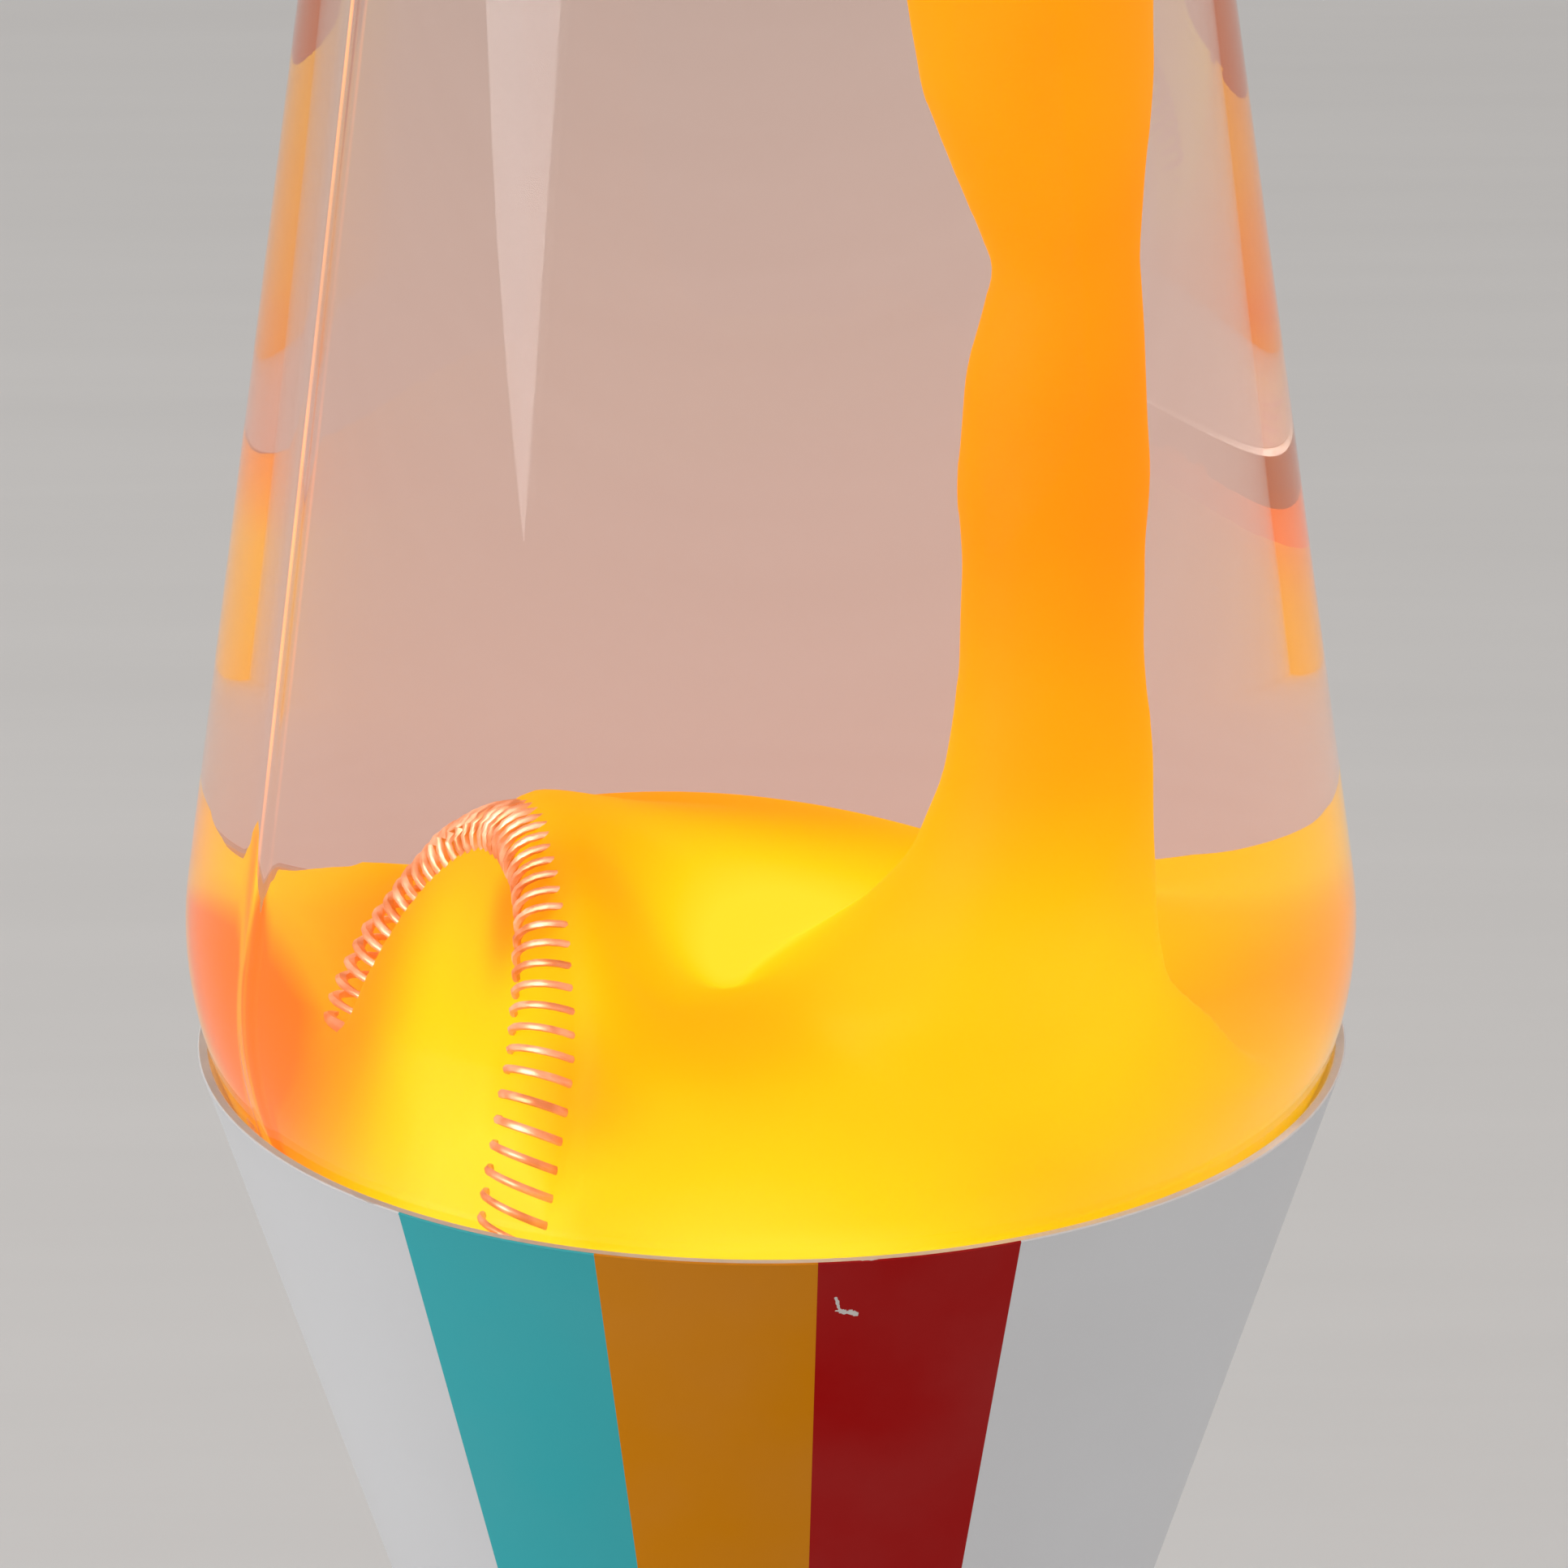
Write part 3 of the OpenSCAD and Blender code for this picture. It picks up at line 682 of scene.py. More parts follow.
def holder_cup():
    """The cup, with twenty-four grip flutes round its lower half."""
    cavity_r, nipple_r, soft, floor = 0.0104, 0.005, 0.0004, 0.003
    grips, grip_deep = 24, 0.03
    low, high = holder_low.z, holder_high.z
    mouth_r = holder_r - 0.002
    outline = (
        [(nipple_r, low), (holder_r - soft, low)] + arc(holder_r - soft, low + soft, soft, -90, 0, 4)
        + [(holder_r, low + 0.002 + 0.001 * i) for i in range(14)]
        + [(holder_r, high - 0.008), (mouth_r, high - soft), (mouth_r - soft, high),
           (cavity_r + soft, high), (cavity_r, high - soft), (cavity_r, low + floor),
           (nipple_r, low + floor)])
    cup = lathe("lamp_holder_cup", outline, 192)
    for vertex in cup.data.vertices:
        x, y, z = vertex.co
        r = hypot(x, y)
        if r > holder_r - 0.0001 and low + 0.0025 < z < low + 0.0145:
            flute = 1 - grip_deep * max(cos(grips * atan2(y, x)), 0.0)
            vertex.co.x, vertex.co.y = x * flute, y * flute
    return cup


place(holder_cup(), "base", "socket_body", "holder_plastic", moulded_plastic())


def rolled_thread(piece, low, high, least_r, deep):
    """Presses a round right-hand thread into a thin lathed sleeve between two heights."""
    for vertex in piece.data.vertices:
        x, y, z = vertex.co
        r = hypot(x, y)
        if r < least_r or not low < z < high:
            continue
        fade = min((z - low) / 0.001, (high - z) / 0.001, 1.0)
        press = deep * fade * (0.5 - 0.5 * cos(2 * pi * z / thread_pitch - atan2(y, x)))
        vertex.co.x, vertex.co.y = x * (r - press) / r, y * (r - press) / r
    return piece


def sleeve():
    """The thin brass sleeve in the holder."""
    outer_r, thick, plain, rows = shell_high.x, 0.0005, 0.001, 72
    heights = [shell_low.z + (shell_high.z - shell_low.z) * i / rows for i in range(rows + 1)]
    outline = [(outer_r, z) for z in heights] + [(outer_r - thick, z) for z in reversed(heights)]
    return rolled_thread(lathe("holder_sleeve", outline, 72), shell_low.z + plain,
                         shell_high.z - plain, 0, 0.0004)


place(sleeve(), "base", "socket_shell", "plain_brass", brass)


def holder_screws():
    """Two slotted screws for the wires, in the holder's underside."""
    screws = [turned(screw("terminal", 0.0022, 0.0018, 0.0012, 0.0028, 0.0007, False),
                     (0, y, holder_low.z), (0, 0, 1)) for y in (-0.011, 0.011)]
    return joined("terminal_screw_pair", screws)


place(holder_screws(), "base", "terminal_screws", "zinc_steel", zinc)

# ---- Bulb
# A small frosted golf-ball bulb, lit. Its glass is blown round a stem with a coiled
# filament on two wires, and it is cemented into a brass cap with a rolled thread.
glass_low, glass_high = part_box("bulb_glass")
ball_r = glass_high.x
ball_z = glass_high.z - ball_r
cap_low, cap_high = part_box("bulb_cap")
neck_glass_r, thread_r = 0.0079, 0.0069


def bulb_outline(inset):
    """The bulb's outline from its neck to its crown, set in by a distance."""
    neck = neck_glass_r - inset
    return ([(neck, glass_low.z), (neck, cap_high.z), (neck + 0.0002, cap_high.z + 0.003),
             (neck + 0.0007, cap_high.z + 0.006)]
            + arc(0, ball_z, ball_r - inset, -64, 90, 36)[:-1] + [(0, ball_z + ball_r - inset)])


def bulb_glass():
    """The thin blown glass, open at the neck."""
    return lathe("bulb_glass_ball", bulb_outline(0) + list(reversed(bulb_outline(0.0007))), 96)


def let_lamp_light_pass(material, shader, tint=(1.0, 1.0, 1.0)):
    """Lets the lights shine straight through a material, in that tint."""
    tree = material.node_tree
    through = tree.nodes.new("ShaderNodeBsdfTransparent")
    through.inputs["Color"].default_value = (*tint, 1)
    ray = tree.nodes.new("ShaderNodeLightPath")
    either = tree.nodes.new("ShaderNodeMixShader")
    tree.links.new(ray.outputs["Is Shadow Ray"], either.inputs[0])
    tree.links.new(shader.outputs[0], either.inputs[1])
    tree.links.new(through.outputs[0], either.inputs[2])
    tree.links.new(either.outputs[0], tree.nodes["Material Output"].inputs["Surface"])


def frosted_glow():
    """Frosted glass, brightest round the filament. It lets the bulb's own light out."""
    material, shader = new_material("frosted_bulb_glass")
    tree = material.node_tree
    point = object_point(tree)
    frost = noise_value(tree, point, 700.0, 3.0)
    near_filament = spread(tree, level(tree, point), cap_high.z, ball_z, 0.0, 1.0)
    give(material, shader, {
        **mottled(tree, frost, (0.85, 0.82, 0.78), (0.95, 0.93, 0.90), 0.45, 0.6),
        "Emission Color": colour_ramp(tree, near_filament, [
            (0.0, (0.45, 0.15, 0.03)), (1.0, (1.0, 0.62, 0.28))]),
        "Emission Strength": 2.2,
        "Normal": bump(tree, frost, 0.2, 0.00005),
    })
    let_lamp_light_pass(material, shader)
    return material


place(bulb_glass(), "bulb", "bulb_glass", "bulb_glass", frosted_glow())


def bulb_stem():
    """The stem: a flare at the neck, a tube, and a flat pinch that grips the wires."""
    low, high = (corner.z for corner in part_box("bulb_stem"))
    outline = [(0, low), (0.0062, low), (0.0062, low + 0.0006), (0.0048, low + 0.0016),
               (0.0034, low + 0.004), (0.0029, low + 0.008), (0.0026, high - 0.004),
               (0.0026, high - 0.001), (0.0022, high), (0, high)]
    stem = lathe("bulb_stem_tube", outline, 48, False)
    for vertex in stem.data.vertices:
        pinch = min(max((vertex.co.z - high + 0.006) / 0.004, 0.0), 1.0)
        vertex.co.y *= 1 - 0.5 * pinch
    return stem


def stem_glass():
    """Greenish lead glass with drawn streaks, seen through the frosting."""
    material, shader = new_material("stem_glass")
    tree = material.node_tree
    drawn = vector_node(tree, "MULTIPLY", object_point(tree), (1.0, 1.0, 0.1))
    streaks = noise_value(tree, drawn, 600.0)
    give(material, shader, {
        **mottled(tree, streaks, (0.70, 0.74, 0.70), (0.86, 0.88, 0.85), 0.05, 0.2),
        "Transmission Weight": 0.7, "IOR": 1.5,
    })
    return material


place(bulb_stem(), "bulb", "bulb_stem", "stem_glass", stem_glass())


def tube_faces(rings, sides, closed=False):
    """The faces of a tube made of rings of points. Its ends are shut unless it closes on itself."""
    faces = []
    for i in range(rings if closed else rings - 1):
        j = (i + 1) % rings
        for k in range(sides):
            m = (k + 1) % sides
            faces.append((i * sides + k, i * sides + m, j * sides + m, j * sides + k))
    if not closed:
        faces += [tuple(reversed(range(sides))), tuple(range((rings - 1) * sides, rings * sides))]
    return faces


def wire_along(name, route, radius, sides, closed=False):
    """A thin round wire swept along a list of points."""
    never_along = Vector((0.31, 0.52, 0.79))
    count, points = len(route), []
    for i, here in enumerate(route):
        after = route[(i + 1) % count] if closed or i + 1 < count else here
        before = route[i - 1] if closed or i else here
        forward = (after - before).normalized()
        aside = forward.cross(never_along).normalized()
        other = forward.cross(aside)
        points += [here + (aside * cos(2 * pi * k / sides) + other * sin(2 * pi * k / sides)) * radius
                   for k in range(sides)]
    return solid(name, points, tube_faces(count, sides, closed), 60)


def filament():
    """Two nickel wires that lean apart, and a finely coiled filament between them."""
    foot_z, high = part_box("bulb_stem")[1].z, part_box("bulb_filament")[1].z - 0.0007
    half, foot_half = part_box("bulb_filament")[1].x - 0.0004, 0.001
    wires = []
    for side in (-1, 1):
        bends = ((foot_half, foot_z - 0.002), (foot_half, foot_z), (half, high - 0.0006), (half, high))
        route = [Vector((side * x, 0, z)) for x, z in bends]
        wires.append(wire_along("support", route, 0.00028, 8))
    turns, steps_a_turn, coil_r, sag = 40, 12, 0.00045, 0.0012
    steps = turns * steps_a_turn
    coil = []
    for i in range(steps + 1):
        along, turn = 2 * i / steps - 1, 2 * pi * i / steps_a_turn
        coil.append(Vector((half * along, coil_r * cos(turn),
                            high - sag * (1 - along ** 2) + coil_r * sin(turn))))
    return joined("filament_and_wires", wires + [wire_along("filament", coil, 0.00012, 5)])


def hot_wire():
    """Tungsten at white heat where it is coiled, dull where it is held."""
    material, shader = new_material("hot_filament")
    tree = material.node_tree
    hot = spread(tree, level(tree, object_point(tree)), ball_z - 0.001, ball_z + 0.0006, 0.0, 1.0)
    give(material, shader, {
        "Base Color": colour_mix(tree, hot, (0.35, 0.34, 0.33), (0.9, 0.6, 0.3)),
        "Metallic": 1.0, "Roughness": spread(tree, hot, 0.0, 1.0, 0.35, 0.6),
        "Emission Color": colour_mix(tree, hot, (0.0, 0.0, 0.0), (1.0, 0.62, 0.25)),
        "Emission Strength": 12.0,
    })
    return material


place(filament(), "bulb", "bulb_filament", "hot_filament", hot_wire())


def screw_cap():
    """The brass cap: a rolled thread, and a flared skirt that holds the glass."""
    low, skirt_r = cap_low.z, cap_high.x
    thread_low, thread_h, rows = low + 0.0018, 0.0148, 60
    wall_heights = [thread_low + thread_h * i / rows for i in range(rows + 1)]
    outer = ([(0.004, low), (thread_r - 0.0006, low + 0.0012)] + [(thread_r, z) for z in wall_heights]
             + [(thread_r + 0.0004, cap_high.z - 0.0044), (skirt_r, cap_high.z - 0.0036),
                (skirt_r, cap_high.z - 0.0002), (skirt_r - 0.0003, cap_high.z)])
    inner = ([(skirt_r - 0.0006, cap_high.z), (skirt_r - 0.0006, cap_high.z - 0.0036),
              (thread_r - 0.0001, cap_high.z - 0.0046)]
             + [(thread_r - 0.0005, z) for z in reversed(wall_heights)] + [(0.004, low + 0.0006)])
    return rolled_thread(lathe("bulb_screw_cap", outer + inner, 72), wall_heights[0], wall_heights[-1],
                         thread_r - 0.0006, 0.0004)


place(screw_cap(), "bulb", "bulb_cap", "plain_brass", brass)


def dark_glass():
    """Black-purple insulator glass, slightly crazed."""
    material, shader = new_material("insulator_glass")
    tree = material.node_tree
    crazing = noise_value(tree, object_point(tree), 900.0, 5.0)
    give(material, shader, mottled(
        tree, crazing, (0.012, 0.008, 0.016), (0.04, 0.03, 0.05), 0.08, 0.25, 0.4))
    return material


finish_node("bulb_insulator", dark_glass())
finish_node("bulb_tip", plain_metal("solder", (0.48, 0.48, 0.50), (0.68, 0.68, 0.70), 3000.0, 0.42))

glow_light = bpy.data.lights.new("bulb_light", "POINT")
glow_light.energy, glow_light.shadow_soft_size = 1.6, 0.015
glow_light.color = (1.0, 0.50, 0.12)
bulb_light = bpy.data.objects.new("bulb_light", glow_light)
bulb_light.location = (0, 0, ball_z)
scene.collection.objects.link(bulb_light)

# ---- Bottle
# One piece of clear blown glass: a steep lower cone that drops into the base, a round
# belly, a long taper and a neck. It was blown in a two-part mould, which left two seams.
bottle_low, bottle_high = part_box("globe_glass")
belly_r = bottle_high.x
belly_z = 0.1815
belly_curve = 0.033
lower_lean, upper_lean = 32.2, 8.5
shoulder_z, shoulder_curve = 0.3445, 0.010
neck_r = 0.013
glass_t, floor_t, inner_corner = 0.0026, 0.005, 0.005
seam_angle = radians(-60)

# Where the belly's curve ends and the taper starts, and the middle of the shoulder's curve
belly_x = belly_r - belly_curve
taper_r = belly_x + belly_curve * cos(radians(upper_lean))
taper_z = belly_z + belly_curve * sin(radians(upper_lean))
shoulder_x = (taper_r - (shoulder_z + shoulder_curve * sin(radians(upper_lean)) - taper_z)
              * tan(radians(upper_lean)) - shoulder_curve * cos(radians(upper_lean)))
neck_curve = shoulder_x - neck_r


def bottle_outline(inset, floor_z, corner, top):
    """The bottle's outline from the edge of its floor to its neck, set in by a distance."""
    lower, upper, step = radians(lower_lean), radians(upper_lean), 0.02
    corner_rise = (floor_z + corner - belly_z) * sin(lower)
    corner_x = belly_x + (belly_curve - inset - corner + corner_rise) / cos(lower)
    taper = [(taper_r - inset * cos(upper) - step * i * tan(upper),
              taper_z - inset * sin(upper) + step * i) for i in range(1, 8)]
    return (arc(corner_x, floor_z + corner, corner, -90, -lower_lean, 8)
            + arc(belly_x, belly_z, belly_curve - inset, -lower_lean, upper_lean, 28)
            + taper
            + arc(shoulder_x, shoulder_z, shoulder_curve - inset, upper_lean, 90, 12)
            + arc(shoulder_x, shoulder_z + shoulder_curve + neck_curve, neck_curve + inset, 270, 180, 12)
            + [(neck_r - inset, top)])


def glass_radius(z, inset=0.0):
    """Radius of the bottle at a height below the shoulder, set in by a distance."""
    lower, upper, curve = radians(lower_lean), radians(upper_lean), belly_curve - inset
    low_z, high_z = belly_z - curve * sin(lower), belly_z + curve * sin(upper)
    if z < low_z:
        return belly_x + curve * cos(lower) - (low_z - z) * tan(lower)
    if z > high_z:
        return belly_x + curve * cos(upper) - (z - high_z) * tan(upper)
    return belly_x + sqrt(curve ** 2 - (z - belly_z) ** 2)


def bottle():
    """The glass, with its hollow underside, its lip and its two mould seams."""
    lip, bead_t = bottle_high.z, 0.0006
    inner = bottle_outline(glass_t, bottle_low.z + floor_t, inner_corner, lip - 0.001)
    outer = bottle_outline(0.0, bottle_low.z, 0.004, lip - 0.009)
    bead = ([(neck_r + bead_t, lip - 0.0082), (neck_r + bead_t, lip - 0.0055), (neck_r, lip - 0.005)]
            + arc(neck_r - bead_t, lip - 0.0017, 0.0016, -60, 90, 6) + [(neck_r - 0.0018, lip)])
    punt_r, punt_h, rows = 0.0173, 0.002, 6
    punt = [(0, bottle_low.z + punt_h)] + [
        (punt_r * i / rows, bottle_low.z + punt_h * (1 - (i / rows) ** 2)) for i in range(1, rows + 1)]
    outline = punt + outer + bead + list(reversed(inner)) + [(0, bottle_low.z + floor_t)]
    glass = lathe("bottle_glass", outline, 288)
    # The seams are fine ridges down the outside, raised a fifth of a millimetre
    ridge, width = 0.0002, 0.0009
    for vertex in glass.data.vertices:
        x, y, z = vertex.co
        r = hypot(x, y)
        if z < bottle_low.z + 0.004 or z > lip - 0.012 or r < glass_radius(min(z, shoulder_z)) - 0.0004:
            continue
        away = min(abs((atan2(x, -y) - seam_angle - k * pi + pi / 2) % pi - pi / 2) for k in (0, 1)) * r
        lift = ridge * exp(-(away / width) ** 2)
        vertex.co.x, vertex.co.y = x * (r + lift) / r, y * (r + lift) / r
    return glass


def clear_material(name, ior, tint):
    """A see-through material that lets the lights pass, with its shader."""
    material, shader = new_material(name)
    give(material, shader, {"Base Color": tint, "Roughness": 0.0, "IOR": ior, "Transmission Weight": 1.0})
    let_lamp_light_pass(material, shader, tuple(0.98 * t for t in tint))
    return material, shader


def glass_face(name, ior, seam_glow):
    """Clear glass with the slow ripple of blown glass. Its seams get a painted glow for the wax's light
    that they pipe up.
    """
    material, shader = clear_material(name, ior, (1.0, 1.0, 1.0))
    tree = material.node_tree
    point = object_point(tree)
    off_plane = vector_node(tree, "DOT_PRODUCT", point, (cos(seam_angle), sin(seam_angle), 0.0))
    piped = spread(tree, math_node(tree, "ABSOLUTE", off_plane), 0.00012, 0.0004, 1.0, 0.0)
    patchy = spread(tree, noise_value(tree, point, 60.0), 0.35, 0.6, 0.25, 1.0)
    give(material, shader, {
        "Specular Tint": (0.2, 0.2, 0.2),
        "Emission Color": colour_mix(tree, math_node(tree, "MULTIPLY", piped, patchy), (0.0, 0.0, 0.0),
                                     seam_glow),
        "Emission Strength": 1.0,
        "Normal": bump(tree, noise_value(tree, point, 14.0, 2.0), 0.06, 0.0008)})
    return material


# Glass bends light by 1.5 in air. Its wetted inside bends it by only 1.5 over 1.33.
glass_piece = bottle()
liquid_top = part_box("globe_liquid")[1].z
# Painted light on the seams: orange on the outer face, dimmer on the wetted inner face
place(glass_piece, "globe", "globe_glass", "bottle_glass", glass_face(
    "clear_blown_glass", 1.5, (0.90, 0.24, 0.008)))
glass_piece.data.materials.append(glass_face("wetted_glass", 1.128, (0.16, 0.04, 0.004)))
for face in glass_piece.data.polygons:
    x, y, z = face.center
    if bottle_low.z + floor_t * 0.7 < z < liquid_top and hypot(x, y) < glass_radius(z, glass_t / 2):
        face.material_index = 1

# ---- Liquid
# Clear salted water with a faint haze. The wax's glow is scattered in it, pinker low
# down and greyer above. It fills the bottle to the shoulder, hidden by the cap.
meniscus_h = 0.0006


def liquid():
    """The whole filling of the bottle, a hair inside the glass, with a meniscus."""
    film, low, flat_top = 0.0001, bottle_low.z + floor_t, liquid_top - meniscus_h
    outline = [p for p in bottle_outline(glass_t + film, low + film, inner_corner, liquid_top)
               if p[1] < flat_top]
    edge_r = outline[-1][0]
    meniscus = [(edge_r, liquid_top), (edge_r - 0.0006, liquid_top - 0.0004),
                (edge_r - 0.0016, flat_top), (0, flat_top)]
    return lathe("clear_liquid", [(0, low + film)] + outline + meniscus, 192, False)


def hazy_liquid(name, ior):
    """The liquid's surface. Its far side shows the liquid's faint cloudiness as a painted glow of the
    wax's light, seen behind everything in it.
    """
    material, shader = clear_material(name, ior, (0.72, 0.68, 0.65))
    tree = material.node_tree
    # Painted light: the wax's glow in the liquid, pinker low down and greyer above, on the far side only
    haze_glow = colour_ramp(tree, spread(tree, level(tree, object_point(tree)), 0.17, 0.30, 0.0, 1.0), [
        (0.0, (0.34, 0.075, 0.020)), (0.5, (0.26, 0.085, 0.040)), (1.0, (0.16, 0.075, 0.050))])
    far_side = tree.nodes.new("ShaderNodeNewGeometry").outputs["Backfacing"]
    give(material, shader, {
        "Emission Color": colour_mix(tree, far_side, (0.0, 0.0, 0.0), haze_glow), "Emission Strength": 1.0})
    return material


# Against the wetted glass the liquid bends no light. Its free surface does.
liquid_piece = liquid()
place(liquid_piece, "globe", "globe_liquid", "clear_liquid", hazy_liquid("hazy_liquid", 1.0))
liquid_piece.data.materials.append(hazy_liquid("liquid_surface", 1.33))
for face in liquid_piece.data.polygons:
    if face.center.z > liquid_top - meniscus_h - 0.0001:
        face.material_index = 1

# ---- Coil ring
# A long fine spring of steel wire, bent round and joined into a ring. It lies loose in
# the wax and spreads the heat. Here it stands on edge, leaning on the left wall.

# The ring's middle, its plane and its size, from the CAD ring's own points
coil_points = np.array([v.co for v in frame["nodes"]["coil_ring"].data.vertices])
coil_middle = Vector(coil_points.mean(0))
coil_normal = Vector(np.linalg.svd(coil_points - coil_points.mean(0), full_matrices=False)[2][2])
if coil_normal.x < 0:
    coil_normal = -coil_normal
coil_up = (Vector((0, 0, 1)) - coil_normal * coil_normal.z).normalized()
coil_along = coil_up.cross(coil_normal)
coil_outer = float(np.linalg.norm(coil_points - coil_points.mean(0), axis=1).max())
turn_r = 0.0038
ring_axis_r = coil_outer - turn_r
wire_r = 0.00034
coil_turns = 84


def coil_ring():
    """The wire: a helix whose axis is a circle, swept as a thin round tube."""
    steps_a_turn = 22
    steps = coil_turns * steps_a_turn
    route = []
    for i in range(steps):
        round_ring, round_turn = 2 * pi * i / steps, 2 * pi * coil_turns * i / steps
        uneven = 0.97 + 0.02 * sin(9 * round_ring) + 0.01 * sin(23 * round_ring + 1)
        outward = coil_along * cos(round_ring) + coil_up * sin(round_ring)
        reach = (turn_r - wire_r) * uneven
        route.append(coil_middle + outward * (ring_axis_r + reach * cos(round_turn))
                     + coil_normal * reach * sin(round_turn))
    return wire_along("coil_wire", route, wire_r, 6, True)


def waxed_steel():
    """Stained steel wire under a film of wax, with a painted glow for the wax's light shining through the
    film.
    """
    material, shader = new_material("coil_wire_steel")
    tree = material.node_tree
    stain_and_glow = noise_value(tree, object_point(tree), 400.0, 3.0)
    give(material, shader, {
        **mottled(tree, stain_and_glow, (0.40, 0.18, 0.09), (0.66, 0.42, 0.31), 0.28, 0.45, 0.35, 0.65),
        "Metallic": 0.4, "Specular IOR Level": 0.1,
        # Painted light: an orange glow on the wire, mottled with the stain
        "Emission Color": colour_mix(tree, stain_and_glow, (0.62, 0.095, 0.005), (0.85, 0.19, 0.012)),
        "Emission Strength": 0.62,
    })
    return material


place(coil_ring(), "globe", "coil_ring", "coil_steel", waxed_steel())

# ---- Wax
# Coloured paraffin wax, molten by the lamp's heat: a pool with a low dome, a lobe that
# clings in the coil, and a column that rises on the right to a round head. Its own
# light stands for the lamp's light scattered through it: yellow below, orange above.
pool_z = 0.171
wax_gap = glass_t + 0.0003
column_x, column_y = 0.0196, -0.008


def smooth_max(a, b, soft):
    """The larger of two values, with the corner between them rounded."""
    return (a + b + sqrt((a - b) ** 2 + soft * soft)) / 2


def mound(distance):
    """A soft hill from 1 in its middle to 0 at a distance of 1."""
    return (1 - distance * distance) ** 2 if distance < 1 else 0.0


def bell(distance):
    """A soft hill from 1 in its middle that dies away past a distance of 1."""
    return exp(-(distance ** 2))


def stopped(value):
    """A value kept between 0 and 1."""
    return min(max(value, 0.0), 1.0)


def pool_height(x, y):
    """Height of the pool's top. The coil is its wall on the left: a low flat pool lies
    outside it, and inside a hill hangs from the coil's arch, with the column's foot."""
    back_hill = 0.0190 * mound(hypot((x + 0.006) / 0.045, (y - 0.017) / 0.032))
    # The column's foot is a ridge that runs from the column to the left and sinks
    run, start_h, sink, half_width = Vector((-0.036, -0.016)), 0.0154, 0.0080, 0.022
    from_column = Vector((x - column_x + 0.003, y - column_y))
    part = stopped(from_column.dot(run) / run.length_squared)
    across = from_column - run * part
    behind = across.length if across.y > 0 else 0.0
    away = across.length * (1.55 if across.y > 0 else 1.0)
    foot = (start_h - sink * part) * mound(away / half_width)
    foot += 0.006 * bell(from_column.length / 0.014)
    # The top dips a little at the front and is raised along the wall, but not at the front
    edge = min(hypot(x, y) / 0.050, 1.0)
    front_dip = 0.002 * mound(hypot(x / 0.06, (y + 0.045) / 0.03))
    wall_rise = 0.0022 * edge ** 4 * stopped((y + 0.035) / 0.015)
    hill = smooth_max(back_hill, foot, 0.0012) * (1 - edge ** 5) - front_dip + wall_rise
    # How far this place is to the right of the leaning coil, and the coil's arch there
    lean = (0.009 * coil_normal.z + (y - coil_middle.y) * coil_normal.y) / coil_normal.x
    right = x - coil_middle.x + lean
    arch_r = ring_axis_r + 0.0006 + 1.08 * min(max(right, 0.0), turn_r)
    chord = arch_r ** 2 - (y - coil_middle.y) ** 2
    arch = coil_middle.z + coil_up.z * sqrt(max(chord, 0.0)) - pool_z
    if chord > 0 and right > -0.003:
        reach = 0.004 + 0.011 * stopped((y + 0.018) / 0.016)
        hill += max(arch - hill, 0.0) * bell(max(right - turn_r, 0.0) / reach)
    # A trough lies behind the ridge, where it is clear of the coil
    hill -= 0.0030 * bell((behind - 0.0075) / 0.0040) * stopped((right - 0.008) / 0.007)
    inside_coil = stopped((right + 0.0015) / 0.003)
    dip = -0.016 * bell(right / 0.020) * mound(min(abs(y + 0.004) / 0.050, 1.0))
    swell = 0.0005 * noise.noise(Vector((x * 60, y * 60, 0.3)))
    return pool_z + dip + (hill - dip) * inside_coil + swell


def pool():
    """The pool: the bottle's inside up to the wax's edge, closed by its uneven top."""
    floor_z, rings = bottle_low.z + floor_t + 0.0003, 40
    side = [p for p in bottle_outline(wax_gap, floor_z, inner_corner, shoulder_z) if p[1] < pool_z - 0.002]
    rim = glass_radius(pool_z, wax_gap)
    outline = [(0, floor_z)] + side + [(rim * (1 - (i / rings)), pool_z) for i in range(rings + 1)]
    piece = lathe("wax_body", outline, 120)
    for vertex in piece.data.vertices:
        if vertex.co.z > pool_z - 0.001:
            vertex.co.z = pool_height(vertex.co.x, vertex.co.y)
    return piece


def column():
    """The rising column, as rings that wander a little, with a round head on top."""
    # Its half width and its drift aside, each by height
    knots = [(0.166, 0.0165), (0.182, 0.0150), (0.188, 0.0112), (0.193, 0.0090), (0.200, 0.0077),
             (0.210, 0.0068), (0.219, 0.0066), (0.226, 0.0071), (0.236, 0.0065), (0.2455, 0.0053),
             (0.252, 0.0066), (0.262, 0.0086), (0.275, 0.0095), (0.288, 0.0092), (0.300, 0.0080),
             (0.310, 0.0085), (0.318, 0.0135), (0.324, 0.0150), (0.330, 0.0138), (0.335, 0.0100),
             (0.3375, 0.004)]
    drift = [(0.166, 0.0), (0.236, 0.0004), (0.2455, 0.0012), (0.262, -0.0006), (0.300, -0.001),
             (0.318, -0.0085), (0.3375, -0.0095)]
    turns, rows, points = 48, 150, []
    z_low, z_high = knots[0][0], knots[-1][0]
    for i in range(rows + 1):
        z = z_low + (z_high - z_low) * i / rows
        r = float(np.interp(z, *zip(*knots)))
        flare = max(r - 0.0077, 0.0) * 0.85 if z < 0.2 else 0.0
        x = column_x - flare + float(np.interp(z, *zip(*drift)))
        y = column_y + 0.002 * sin(z * 60) + (0.006 if z > 0.316 else 0.0)
        for k in range(turns):
            a = 2 * pi * k / turns
            ripple = 1 + 0.05 * noise.noise(Vector((2 * cos(a), 2 * sin(a), z * 90)))
            points.append((x + r * ripple * cos(a), y + r * ripple * sin(a), z))
    return solid("wax_column", points, tube_faces(rows + 1, turns))


